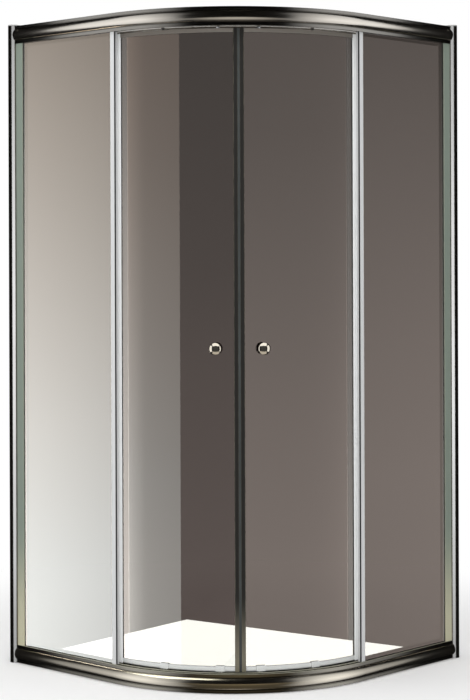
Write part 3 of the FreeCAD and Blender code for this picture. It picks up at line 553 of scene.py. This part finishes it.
def grooved(slot_levels, level):
    """A whole rail section: slot or channel, glass groove, then the face."""
    rail_round = 0.0007
    inside = np.array(stepped(*slot_levels, groove_inner, groove_depth, groove_outer, 0))
    inside[:, 1] = level(inside[:, 1])
    face, smooth = nose_face(level)
    radius = np.where(np.concatenate([np.zeros(len(inside), bool), smooth]), 0.0, rail_round)
    return rounded(np.concatenate([inside, face]), radius)


ledge_height, slot_half = 0.003, 0.006
guide_half, guide_depth = 0.008, 0.016
roof = rail_height - rail_web
rear_lip, rear_drop = 0.0025, 0.003
roller_channel = (rail_inner, -rear_drop, rail_inner + rear_lip, 0, track_radius - slot_half, ledge_height,
                  channel_inner, roof, channel_outer, ledge_height, track_radius + slot_half, 0)
guide_slot = (rail_inner, 0, track_radius - guide_half, guide_depth, track_radius + guide_half, 0)
print("channel of", len(roller_channel) - 1, "corners, guide slot of", len(guide_slot) - 1)

# %% Rails along their path
bend_steps = 97
bend = arc_path(-math.pi / 2, 0, bend_steps)
rail_path = np.concatenate([[(-rail_end, 0, -math.pi / 2)], bend, [(0, rail_end, 0)]])
for node, levels, level in (("top_rail", roller_channel, lambda up: top_rail_base + up),
                            ("bottom_rail", guide_slot, lambda down: rail_height - down)):
    section, edge = grooved(levels, level)
    rail = skin(node + "_profile", *carried((section, edge), rail_path))
    beyond_lip = section[:, 0] - lip_radius
    mark(rail, "satin", abs(section[:, 1] - rail_height) < face_line / 4)
    # Painted shade: points on the thin lips are marked to take the darker shaded tone.
    mark(rail, "lip", (abs(beyond_lip) < 1.1 * face_line) & (beyond_lip < face_line / 10))
    dress(rail, "frame", polished_bronze, "bronze_metal", node)

# %% [markdown]
# ## Wall posts and their caps
# A post is a channel that is screwed to the wall, with a hollow rounded leg in front. Its section never changes, so
# the plan outline is simply raised to full height. A small moulded lid closes the top.

# %% Posts and caps
post_bulge, post_wall, post_pocket, cap_height, post_round = 0.012, 0.0025, 0.027, 0.003, 0.0008
post_chord = nose_reach - post_bulge
pocket_outer = post_chord - post_wall
pocket_inner = pocket_outer - post_pocket
post_inner = pocket_inner - post_wall
post_top = cad_high.z - cap_height
post_steps = 33
post_nose = bulge((post_chord, wall_plane), (post_chord, rail_end), -post_bulge, post_steps)
print("post", round(wall_plane - rail_end, 4), "m wide")


def post_outline(*inside):
    """The post in plan: wall side, rounded nose, then the levels of its inside."""
    points = np.concatenate([[(post_inner, wall_plane), (post_chord, wall_plane)], post_nose,
                             stepped(post_chord, rail_end, *inside, post_inner)])
    radius = np.full(len(points), post_round)
    radius[2:2 + len(post_nose)] = 0
    return rounded(points, radius)


post = post_outline(pocket_outer, wall_plane - post_wall, pocket_inner, rail_end)
pair("post", "wall_channel", raised(post, 0, post_top), polished_bronze, "bronze_metal")
pair("post_lid", "post_cap", raised(post_outline(), post_top, cad_high.z), grey_plastic, "grey_plastic")

# %% [markdown]
# ## Uprights
# Beside each post a flat strip shows: the upright that slides in the post and grips the fixed glass. It is brushed,
# not buffed, and its gradient from gold at the foot to grey-green above is a painted reflection of the floor.

# %% Uprights
upright_low, upright_high = box_of("right_upright")
post_slip, upright_depth, head_step, leg_thickness, upright_round = 0.0003, 0.018, 0.002, 0.0094, 0.0006
shoulder = rail_end - post_slip
tongue = pocket_outer - post_slip
upright_front = upright_low[1]
upright_floor = upright_front + upright_depth
head = lip_radius - head_step
leg_inner = groove_inner - leg_thickness
upright_corners = stepped(upright_low[0], upright_high[1], tongue, shoulder, head, upright_front, groove_outer,
                          upright_floor, groove_inner, upright_front, leg_inner, upright_floor, upright_low[0])
upright = raised(rounded(upright_corners, upright_round), upright_low[2], upright_high[2])
pair("upright_strip", "upright", upright, strip_bronze, "bronze_metal")

# %% [markdown]
# ## Fixed panes and their white edge seals
# A fixed pane is plain flat glass with arrised edges. Its free edge wears a white vinyl channel with a soft fin
# that wipes the sliding door.

# %% Fixed panes
arris = 0.0012
pane_low, pane_high = box_of("right_fixed_glass")
pane_corners = stepped(pane_low[0], pane_low[1], pane_high[0], pane_high[1], pane_low[0])
flat_pane = raised(rounded(pane_corners, arris), pane_low[2], pane_high[2])
pair("fixed_pane", "fixed_glass", flat_pane, smoked_glass, "smoked_glass")

# %% Panel seals
seal_low, seal_high = box_of("right_panel_seal")
fin, fin_place, panel_fin = 0.0015, 0.012, 0.006
slide_gap, glass_gap = 0.0003, 0.0001
seal_round, lip_width, gap_shadow_reach = 0.0008, 0.005, 0.0007
seal_inner = seal_low[0] + panel_fin
lip_start = seal_high[0] - lip_width
fin_top, fin_foot = fin_place - slide_gap, fin_place - slide_gap - fin
channel = stepped(seal_high[0], seal_high[1], pane_high[0] + glass_gap, pane_low[1] - glass_gap,
                  pane_low[0] - glass_gap, seal_high[1], seal_inner, fin_top, seal_low[0], fin_foot, seal_inner, 0,
                  lip_start - glass_gap)
seal_corners = [(seal_high[0], 0), *channel, (lip_start, 0)]
seal_radius = np.full(len(seal_corners), seal_round)
seal_radius[-2:] = 0
seal_plan, seal_edge = rounded(seal_corners, seal_radius)
# Painted shadow: the outer part of the seal's end face is marked to take the near-black gap shadow colour.
gap_shadow_mask = (seal_plan[:, 0] > lip_start - glass_gap / 2) & (seal_plan[:, 1] < gap_shadow_reach)
seal = raised((seal_plan, seal_edge), seal_low[2], seal_high[2])
pair("panel_edge_seal", "panel_seal", seal, panel_vinyl_painted_shade, "white_vinyl", lip=gap_shadow_mask)

# %% [markdown]
# ## Bent door panes
# Each door is one pane bent to the arc of the track. Its section is a tall thin rectangle carried round the centre,
# with the same arrised edges as the fixed panes.

# %% Door panes
glass_half = (pane_high[0] - pane_low[0]) / 2
pane_base, pane_top = box_of("right_door_glass")[:, 2]
seal_bite, door_front = 0.012, 0.0063
meeting_turn, door_steps = -math.pi / 4, 49
door_path = arc_path(meeting_turn + door_front / track_radius, seal_bite / track_radius, door_steps)
door_inner, door_outer = track_radius - glass_half, track_radius + glass_half
door_section = rounded(stepped(door_inner, pane_base, door_outer, pane_top, door_inner), arris)
pair("door_pane", "door_glass", carried(door_section, door_path), smoked_glass, "smoked_glass", True)

# %% [markdown]
# ## Meeting stiles and magnet strips
# Where the doors meet, each glass edge sits in a slim bronze channel, and a dark magnetic strip is keyed into its
# front. Both are drawn about the meeting line, which stands at half a right angle.


# %% Stiles and magnets
def turned_plan(plan, turn):
    """Turn a plan outline about the centre of the arc: (x cos - y sin, x sin + y cos)."""
    c, s = math.cos(turn), math.sin(turn)
    return plan @ np.array([[c, s], [-s, c]])


meet_gap, magnet_depth, stile_width, stile_half, stile_bite = 0.0003, 0.003, 0.011, 0.007, 0.008
magnet_half, key_half, key_depth, bond, magnet_gap = 0.004, 0.002, 0.002, 0.0004, 0.00005
stile_round, back_round = 0.0005, 0.0025
stile_front = meet_gap + magnet_depth
stile_back = stile_front + stile_width
key_floor, stile_floor, grip_half = stile_front + key_depth, stile_back - stile_bite, glass_half + bond
door_low, door_high = box_of("right_door_stile")[:, 2]
stile_outline = stepped(-stile_half, stile_front, -key_half, key_floor, key_half, stile_front, stile_half,
                        stile_back, grip_half, stile_floor, -grip_half, stile_back, -stile_half)
stile_radius = np.full(len(stile_outline), stile_round)
stile_radius[[6, 11]] = back_round
magnet_outline = stepped(-magnet_half, magnet_gap, magnet_half, stile_front, key_half, key_floor, -key_half,
                         stile_front, -magnet_half)
for name, node, outline, radius, material, slot in (
        ("meeting_stile", "door_stile", stile_outline, stile_radius, stile_bronze, "bronze_metal"),
        ("magnet_line", "magnet_strip", magnet_outline, stile_round, magnet_vinyl, "magnet_strip")):
    plan, edge = rounded(np.array(outline) + (track_radius, 0), radius)
    shape = raised((turned_plan(plan, meeting_turn), edge), door_low, door_high)
    pair(name, node, shape, material, slot, True)

# %% [markdown]
# ## Door seals and the hanging profile
# The rear edge of a door has a white channel whose fin meets the fixed panel's. A slim bronze profile caps the top
# edge and hangs from the rollers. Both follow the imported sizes, so that fin still meets fin.

# %% Trailing seals
tail_low, tail_high = box_of("right_trailing_seal")
tail_half, door_fin = 0.0055, 0.0085
tail_outer, tail_inner = track_radius + tail_half, track_radius - tail_half
grip_out, grip_in = track_radius + grip_half, track_radius - grip_half
fin_end, fin_back, tail_floor = tail_outer + door_fin, fin_place + fin, seal_bite + glass_gap
tail_corners = stepped(grip_out, 0, tail_outer, fin_place, fin_end, fin_back, tail_outer, tail_high[1],
                       tail_inner, 0, grip_in, tail_floor, grip_out)
tail = raised(rounded(tail_corners, seal_round), tail_low[2], tail_high[2])
pair("door_edge_seal", "trailing_seal", tail, door_vinyl, "white_vinyl", True)

# %% Hanging profiles
carrier_base, carrier_top = box_of("right_door_carrier")[:, 2]
carrier_half, carrier_web, carrier_round = 0.0055, 0.004, 0.0006
carrier_outer, carrier_inner = track_radius + carrier_half, track_radius - carrier_half
web_base = carrier_top - carrier_web
carrier_corners = stepped(carrier_inner, carrier_base, grip_in, web_base, grip_out, carrier_base, carrier_outer,
                          carrier_top, carrier_inner)
carrier_path = arc_path(meeting_turn + (stile_back + slide_gap) / track_radius, 0, door_steps)
carrier = carried(rounded(carrier_corners, carrier_round), carrier_path)
pair("hanging_profile", "door_carrier", carrier, hanger_bronze, "bronze_metal", True)

# %% [markdown]
# ## Knobs
# A turned knob stands either side of each door: flange, slim neck, trumpet flare, rim and domed face. One profile
# is turned about the line that leaves the door square to the glass.


# %% Knob profile
def turned(profile, origin, axis, steps=72):
    """Turn a profile of (distance along the axis, radius) about a level axis from an origin.

    A point lies at the distance along the axis, plus the radius times (cos turn sideways, sin turn upwards).
    """
    round_turn = np.linspace(0, 2 * math.pi, steps, endpoint=False)
    axis = np.array([*axis, 0.0])
    side_way = np.array([-axis[1], axis[0], 0.0])
    spread = np.cos(round_turn)[:, None] * side_way + np.sin(round_turn)[:, None] * np.array([0, 0, 1.0])
    return np.array(origin) + profile[:, :1, None] * axis + profile[:, 1:, None] * spread


knob_radius, knob_length, neck_radius, neck_length = 0.016, 0.027, 0.0065, 0.007
flange_radius, flange_height, knob_flare, knob_rim = 0.009, 0.003, 0.006, 0.005
knob_round, pole, flare_steps, dome_steps = 0.0008, 0.0002, 12, 24
neck_end = flange_height + neck_length
crown = neck_end + knob_flare + knob_rim
flare_rise = knob_radius - neck_radius
flare_curve = (knob_flare ** 2 + flare_rise ** 2) / (2 * flare_rise)
flare_turn = np.linspace(0, math.acos(1 - flare_rise / flare_curve), flare_steps)
flare = np.stack([neck_end + flare_curve * np.sin(flare_turn),
                  neck_radius + flare_curve * (1 - np.cos(flare_turn))], -1)
whole_dome = bulge((crown, knob_radius), (crown, -knob_radius), -(knob_length - crown), 2 * dome_steps + 1)
knob_corners = np.concatenate([
    [(0, pole), (0, flange_radius), (flange_height, flange_radius), (flange_height, neck_radius)], flare,
    [(crown, knob_radius)], whole_dome[:dome_steps], [(knob_length, pole)]])
knob_rounding = np.zeros(len(knob_corners))
knob_rounding[[1, 2, 3 + len(flare), 4 + len(flare)]] = knob_round
knob_profile, _ = rounded(knob_corners, knob_rounding)
print("knob outline", len(knob_corners), "points, dome", round(knob_length - crown, 4), "m high")

# %% Knobs on both faces of both doors
knob_offset, washer = 0.062, 0.001
knob_turn = meeting_turn + knob_offset / track_radius
knob_way = np.array([math.cos(knob_turn), math.sin(knob_turn)])
knob_level = box_of("right_knob_outer")[:, 2].mean()
sag = flange_radius ** 2 / (2 * (track_radius - glass_half))
seat = glass_half + sag + washer
knob_finish = make_plain("polished_nickel", (0.62, 0.57, 0.48), (0.70, 0.65, 0.56), 0.05, 0.12,
                         grain=120.0, height=0.00001, Metallic=1.0)
for face, way in (("outer", 1.0), ("inner", -1.0)):
    start = [*(knob_way * (track_radius + way * seat)), knob_level]
    knob = (turned(knob_profile, start, knob_way * way), None)
    pair(f"knob_{face}_turned", f"knob_{face}", knob, knob_finish, "polished_knob", True)

# %% [markdown]
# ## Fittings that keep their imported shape
# Wheels, axles, hangers, guides, drip strips, screws and blocks are right as they are. They only need their
# finishes, which are found by the ending of each name.

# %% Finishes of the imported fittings
FITTINGS = (
    (white_nylon, ("wheels", "guide_roller")), (cast_zinc, ("hanger_blocks",)),
    (bright_steel, ("wheel_axles", "hanger_studs", "hanger_nuts", "guide_pins", "screws", "knob_stud")),
    (milky_vinyl, ("knob_washers", "guide_shoes", "drip_seal")), (grey_plastic, ("rail_end_blocks",)),
    (black_rubber, ("door_bumpers", "glazing_gasket")),
)
finished = []
for node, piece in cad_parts.items():
    finish = next((material for material, endings in FITTINGS if node.endswith(endings)), None)
    if finish and not piece.hide_render:
        piece.data.materials.clear()
        piece.data.materials.append(finish)
        finished.append(node)
print("fittings:", len(finished))

# %% [markdown]
# ## Camera
# The view is that of a long lens a little above mid height, a step to the left of the corner's diagonal. The level
# camera keeps the posts upright, a small shift brings the whole height into the frame, and a trace of roll follows
# the lean of the rails.

# %% Camera
camera_data = bpy.data.cameras.new("portrait")
camera_data.lens = 97.7
camera_data.shift_y = -0.122
camera = bpy.data.objects.new("portrait", camera_data)
camera.location = (3.690, -3.935, 1.1206)
camera_turn, camera_roll = math.radians(43.136), 0.0036
camera.rotation_euler = (math.pi / 2, camera_roll, camera_turn)
bpy.context.scene.collection.objects.link(camera)
bpy.context.scene.camera = camera
bpy.context.scene.view_settings.view_transform = "Standard"
print("camera", [round(x, 3) for x in camera.location])

# %% [markdown]
# ## Floor and backdrop
# A pale floor catches a soft shadow near the enclosure and fades to white further out, where it meets a white
# world. What the camera, the metal and the glass see is plain white; what lights the object is dimmer, so that
# colours come out about as they are written. Behind such dark panes a plain floor would look almost black. Clear
# glass would show it, but would lose the smoky panes, so inside the cubicle the floor answers rays that came
# through glass with a far stronger white.


# %% Floor paint
def sees_backdrop(tree):
    """One for camera, mirror and glass rays, nothing for the rays that light the object."""
    path = add(tree, "LightPath").outputs
    mirrored = joined(tree, path["Is Camera Ray"], path["Is Glossy Ray"], "MAXIMUM")
    return joined(tree, mirrored, path["Is Transmission Ray"], "MAXIMUM")


def make_floor_paint(near, far, cubicle, through_glass, glass_tint):
    """Pale paint that keeps its shadow near the object and turns plain white from near to far.

    Inside the cubicle, light that has come through a pane is lifted, so that the floor there still reads as white
    behind the smoky tint. Each side of the cubicle is a direction and the least distance along it.
    """
    material, tree, shader = new_finish("floor_paint", Roughness=0.9, Base_Color=(0.97, 0.97, 0.97, 1.0))
    place = place_in(tree)
    reach = add(tree, "VectorMath", {0: place}, operation="LENGTH").outputs["Value"]
    distant = joined(tree, ramp(tree, reach, start=near, end=far, curve="SMOOTHSTEP"), sees_backdrop(tree))
    path = add(tree, "LightPath").outputs
    lifted = joined(tree, path["Is Transmission Ray"], joined(tree, path["Glossy Depth"], 0.5, "LESS_THAN"))
    for way, least in cubicle:
        along = add(tree, "VectorMath", {0: place, 1: (*way, 0.0)}, operation="DOT_PRODUCT")
        lifted = joined(tree, lifted, joined(tree, along.outputs["Value"], least, "GREATER_THAN"))
    white = add(tree, "Emission", {"Color": blend(tree, lifted, (1.0, 1.0, 1.0), glass_tint),
                                   "Strength": ramp(tree, lifted, 1.0, through_glass)})
    share = joined(tree, distant, lifted, "MAXIMUM")
    either_surface(tree, share, shader.outputs["BSDF"], white.outputs["Emission"])
    return material


# %% Floor and world
def sheet(name, grid, material):
    """A stage board from a grid of points: neighbouring rows and columns joined, and no part of the object."""
    rows, columns = grid.shape[:2]
    index = np.arange(rows * columns).reshape(rows, columns)
    quads = np.stack([index[:-1, :-1], index[:-1, 1:], index[1:, 1:], index[1:, :-1]], -1).reshape(-1, 4)
    mesh = bpy.data.meshes.new(name)
    mesh.from_pydata(grid.reshape(-1, 3), [], quads.tolist())
    mesh.materials.append(material)
    mesh.shade_smooth()
    board = bpy.data.objects.new(name, mesh)
    bpy.context.scene.collection.objects.link(board)
    return board


world = bpy.data.worlds.new("studio")
bpy.context.scene.world = world
world.use_nodes = True
sky_tree = world.node_tree
room_glow = 0.55
put(sky_tree, sky_tree.nodes["Background"],
    {"Color": (1, 1, 1, 1), "Strength": ramp(sky_tree, sees_backdrop(sky_tree), room_glow, 1.0)})
floor_reach, floor_drop = 30.0, 0.0005
spread = np.linspace(-floor_reach, floor_reach, 2)
floor_grid = np.dstack([*np.meshgrid(spread, spread), np.full((2, 2), -floor_drop)])
cubicle = (((0.996, 0.092), -0.498), ((0.152, -0.988), -0.417), ((-1.0, 0.0), -0.46), ((0.0, 1.0), -0.46))
floor_paint = make_floor_paint(near=0.75, far=1.8, cubicle=cubicle, through_glass=21.7,
                               glass_tint=(0.81, 0.94, 0.95))
floor = sheet("floor", floor_grid, floor_paint)
floor.visible_glossy = floor.visible_shadow = False
print("floor", 2 * floor_reach, "m wide, cubicle with", len(cubicle), "sides")

# %% [markdown]
# ## Studio light
# One wide soft light hangs above, a weaker one stands at the left and one fills from the front; none of them shows
# in the polish. Lamps that belong to a few pieces then draw what polish and glass mirror: area lights can be linked
# to what they shine on, which is how a studio would use small cards and flags. Such a card can be graded across and
# up its face, in strength and in tint.

# %% Lamps
WHITE = (1.0, 1.0, 1.0)


def gathered(name, pieces):
    """A collection of pieces by name, for a light that belongs to them."""
    group = bpy.data.collections.new(name)
    for piece in pieces:
        group.objects.link(bpy.data.objects[piece])
    return group


def softbox(name, place, target, width, height, power, pieces=(), tint=WHITE):
    """A rectangular soft light that looks at a target. With pieces named, only those see it."""
    lamp = bpy.data.lights.new(name, "AREA")
    lamp.shape = "RECTANGLE"
    lamp.size, lamp.size_y, lamp.energy, lamp.color = width, height, power, tint
    light = bpy.data.objects.new(name, lamp)
    bpy.context.scene.collection.objects.link(light)
    light.location = place
    way = np.array(target) - np.array(place)
    tilt, turn = math.atan2(math.hypot(way[0], way[1]), -way[2]), math.atan2(-way[0], way[1])
    light.rotation_euler = (tilt, 0, turn)
    light.visible_camera = light.visible_transmission = False
    light.visible_glossy = bool(pieces)
    if pieces:
        light.light_linking.receiver_collection = gathered(name + "_pieces", pieces)
    print("light", name, "on", len(pieces) or "all", "pieces")
    return lamp


softbox("overhead", (0.5, -0.7, 3.8), (0.05, -0.05, 0.5), width=2.6, height=2.6, power=75)
softbox("left_wash", (-2.6, -3.2, 1.9), (0, 0, 0.9), width=2.0, height=2.4, power=25)
softbox("front_fill", (3.0, -3.2, 2.4), (0, 0, 0.9), width=3.0, height=3.0, power=40)


# %% Graded cards
def graded(lamp, across, upright, turn=0.0, foot=WHITE, top=WHITE):
    """Shape a lamp by stops of (place, share of its power), across its face and up it; the two are multiplied.

    Its tint is that of the foot up to the place where it turns, and from there runs evenly to that of the top.
    """
    lamp.use_nodes = True
    tree = lamp.node_tree
    parametric = add(tree, "NewGeometry").outputs["Parametric"]
    face = add(tree, "SeparateXYZ", {"Vector": parametric}).outputs
    shades = []
    for axis, stops in (("X", across), ("Y", upright)):
        shade = add(tree, "ValToRGB", {"Fac": face[axis]})
        elements = shade.color_ramp.elements
        elements[0].position, elements[1].position = stops[0][0], stops[-1][0]
        for place, _ in stops[1:-1]:
            elements.new(place)
        for element, (_, level) in zip(elements, stops):
            element.color = (level, level, level, 1.0)
        shades.append(shade.outputs["Color"])
    tint = blend(tree, ramp(tree, face["Y"], start=turn), foot, top)
    put(tree, tree.nodes["Emission"], {"Color": tint, "Strength": joined(tree, *shades)})


# %% [markdown]
# ## The dark studio
# Polished metal is dark because the studio round it is dark. A black world would do that too, but would darken the
# backdrop, so two pieces of a black dome, seen only by reflections, hide the white world from the polish.


# %% The dark dome
def dome_grid(turns, climbs, radius):
    """Points on a dome: radius times (cos climb cos turn, cos climb sin turn, sin climb)."""
    turn_steps, climb_steps = 33, 17
    turn, climb = np.meshgrid(np.radians(np.linspace(*turns, turn_steps)),
                              np.radians(np.linspace(*climbs, climb_steps)))
    return radius * np.dstack([np.cos(climb) * np.cos(turn), np.cos(climb) * np.sin(turn), np.sin(climb)])


black_cloth = make_plain("black_cloth", (0.010, 0.010, 0.010), (0.016, 0.016, 0.016), 0.8, 0.9)
dome_radius = 8.0
for name, turns, climbs in (("front_dome", (-200, 110), (-89, 89)), ("rear_dome", (110, 160), (25, 89))):
    dome = sheet(name, dome_grid(turns, climbs, dome_radius), black_cloth)
    dome.visible_camera = dome.visible_diffuse = dome.visible_transmission = dome.visible_shadow = False
    print(name, "from", turns[0], "to", turns[1], "degrees")

# %% [markdown]
# ## Cards for posts, knobs and seals
# The posts mirror one broad panel that fades towards its top and foot. A knob's dome mirrors a card on each side
# and a weak one in front, which leaves its middle dark. The rear door seals get a fill of their own, so that white
# vinyl stays white.

# %% Cards for posts, knobs and seals
even = [(0, 1), (1, 1)]
posts = ("right_post", "left_post")
knobs = ("right_knob_outer_turned", "left_knob_outer_turned")
tails = ("right_door_edge_seal", "left_door_edge_seal")
front_panel = softbox("front_panel", (2.9, -3.1, 0.8), (0, 0, 0.8), 6.0, 4.4, 282, posts, (0.713, 0.807, 1.0))
graded(front_panel, even, [(0, 0.2), (0.15, 0.5), (0.4, 1), (0.6, 1), (0.85, 0.5), (1, 0.2)])
knob_middle = (0.33, -0.33, 0.9)
for name, place, width, height, power, tint in (
        ("knob_top", (0.85, -0.85, 2.1), 2.4, 1.1, 12, WHITE),
        ("knob_left", (-0.3, -1.75, 0.9), 0.9, 1.9, 7.2, WHITE),
        ("knob_right", (1.75, 0.3, 0.9), 0.9, 1.9, 7.2, WHITE),
        ("knob_front", (1.8, -1.8, 0.9), 3.0, 3.0, 1.6, WHITE),
        ("knob_low", (0.70, -0.70, 0.05), 1.6, 0.7, 2.4, (1.0, 0.94, 0.85))):
    softbox(name, place, knob_middle, width, height, power, knobs, tint)
softbox("seal_fill", (2.6, -2.8, 1.0), (0.2, -0.2, 0.9), 2.0, 2.2, 36, tails)

# %% [markdown]
# ## Cards for the rails
# The half-round nose of a rail mirrors a tall card from either side of the corner, strongest halfway up, and a
# small glow from below. One more lamp draws the fine bright line on the bottom rail.

# %% Cards for the rails
softbox("rail_line", (-0.65, -1.2, 2.6), (0.1, -0.45, 0.04), 1.8, 1.8, 49, ("bottom_rail_profile",),
        (0.95, 1.0, 0.95))
soft_peak = [(0, 0), (0.5, 1), (1, 0)]
soft_ends = [(0, 0), (0.35, 1), (0.65, 1), (1, 0)]
fall = [(0, 0.6), (0.05, 1), (0.35, 1), (0.6, 0.6), (1, 0)]
late_fall = [(0, 0.25), (0.1, 0.55), (0.25, 1), (0.4, 1), (0.65, 0.6), (1, 0)]
rail_card_width, rail_card_height, glow_size = 1.65, 4.2, 1.1
for node, level, power, tint, across in (("top_rail", 1.62, 63.5, (0.826, 0.882, 1.0), fall),
                                         ("bottom_rail", -0.09, 61, (0.889, 0.935, 1.0), late_fall)):
    across_back = [(1 - place, share) for place, share in reversed(across)]
    for place, way, stops in (((-0.059, -1.362), (0.745, 0.667), across),
                              ((1.374, 0.056), (-0.661, -0.751), across_back)):
        target = (place[0] + way[0], place[1] + way[1], level)
        card = softbox(node + "_card", (*place, level), target, rail_card_width, rail_card_height, power,
                       (node + "_profile",), tint)
        graded(card, stops, soft_peak)
for node, level, power, tint in (("top_rail", 1.25, 4.7, (0.938, 0.958, 1.0)),
                                 ("bottom_rail", 0.001, 3.1, (1.0, 0.869, 0.575))):
    glow = softbox(node + "_glow", (0.70, -0.70, level), (0.70, -0.70, level + 1), glow_size, glow_size, power,
                   (node + "_profile",), tint)
    graded(glow, soft_ends, soft_ends)

# %% [markdown]
# ## Cards for the glass
# A pane mirrors whatever stands where its surface sends the view. Each pane has a card of its own, bright at the
# foot and dimmer above, and on the left side warmer above too. On the left door a second, much weaker card takes
# over at a sharp edge.

# %% Cards for the glass
card_height, card_middle, front_plane = 2.15, 0.875, -1.372
side_rise = [(0, 0.98), (0.17, 0.98), (0.4, 0.825), (0.706, 0.532), (1, 0.272)]
side_card = softbox("side_card", (-0.462, -0.737, card_middle), (0, -0.737, card_middle), 0.55, card_height, 52.8,
                    ("left_fixed_pane",))
graded(side_card, [(0, 1), (1, 0.68)], side_rise, 0.2, (1.0, 1.02, 0.985), (1.0, 0.855, 0.71))
door_rise = [(0, 1), (0.1, 1), (0.346, 0.749), (0.576, 0.568), (0.777, 0.394), (1, 0.262)]
door_card = softbox("door_card", (-0.739, front_plane, card_middle), (-0.739, 0, card_middle), 1.922, card_height,
                    160, ("left_door_pane",))
graded(door_card, [(0, 1), (0.31, 1), (0.52, 0.72), (0.69, 0.5), (1, 0.45)], door_rise, 0.3,
       (1.0, 0.968, 0.904), (1.0, 0.77, 0.62))
meeting_rise = [(0, 1), (0.06, 1), (0.11, 0.84), (0.33, 0.62), (0.47, 0.49), (0.61, 0.27), (0.95, 0)]
meeting_card = softbox("meeting_card", (0.861, front_plane, card_middle), (0.861, 0, card_middle), 1.278,
                       card_height, 12, ("left_door_pane",), (1.0, 0.74, 0.68))
graded(meeting_card, even, meeting_rise)
lamp_white, right_place, right_target = (1.0, 0.835, 0.75), (1.6, 0.175, 0.83), (0, 0.175, 0.83)
right_width, right_height = 3.85, 2.45
for pane, power, rise in (("right_fixed_pane", 62, [(0, 1), (0.3, 0.975), (0.5, 0.82), (1, 0.28)]),
                          ("right_door_pane", 91, [(0, 1), (0.2, 1), (0.4, 0.824), (0.8, 0.368), (1, 0.24)])):
    card = softbox(pane + "_card", right_place, right_target, right_width, right_height, power, (pane,), lamp_white)
    graded(card, even, rise)

# %% [markdown]
# ## Slim cards beside the seals and strips
# A seal or a strip hides the large card from the glass right beside it and would leave a dark line. A slim lamp
# close to the pane fills that line.

# %% Slim cards beside the seals and strips
slim_height, slim_middle, seal_middle = 1.7, 0.9, 0.0107
warm_white, rising = (1.0, 0.92, 0.84), [(0, 1), (0.15, 1), (1, 0.15)]
seal_side = np.array([seal_high[0] - seal_middle, -slide_gap, slim_middle])
strip_side = np.array([(pane_high[0] + head) / 2, upright_front - slide_gap, slim_middle])
for side, pane, spot, width, power in (
        ("left", "door_pane", seal_side, 0.0245, 1.33), ("right", "door_pane", seal_side, 0.0245, 0.36),
        ("left", "fixed_pane", strip_side, 0.0045, 0.36), ("right", "fixed_pane", strip_side, 0.0045, 0.065)):
    place, ahead = on_side(side, np.array([spot, spot - (0, 1, 0)])) + arc_centre
    card = softbox(f"{side}_{pane}_edge", place, ahead, width, slim_height, power, (f"{side}_{pane}",), warm_white)
    graded(card, even, rising)
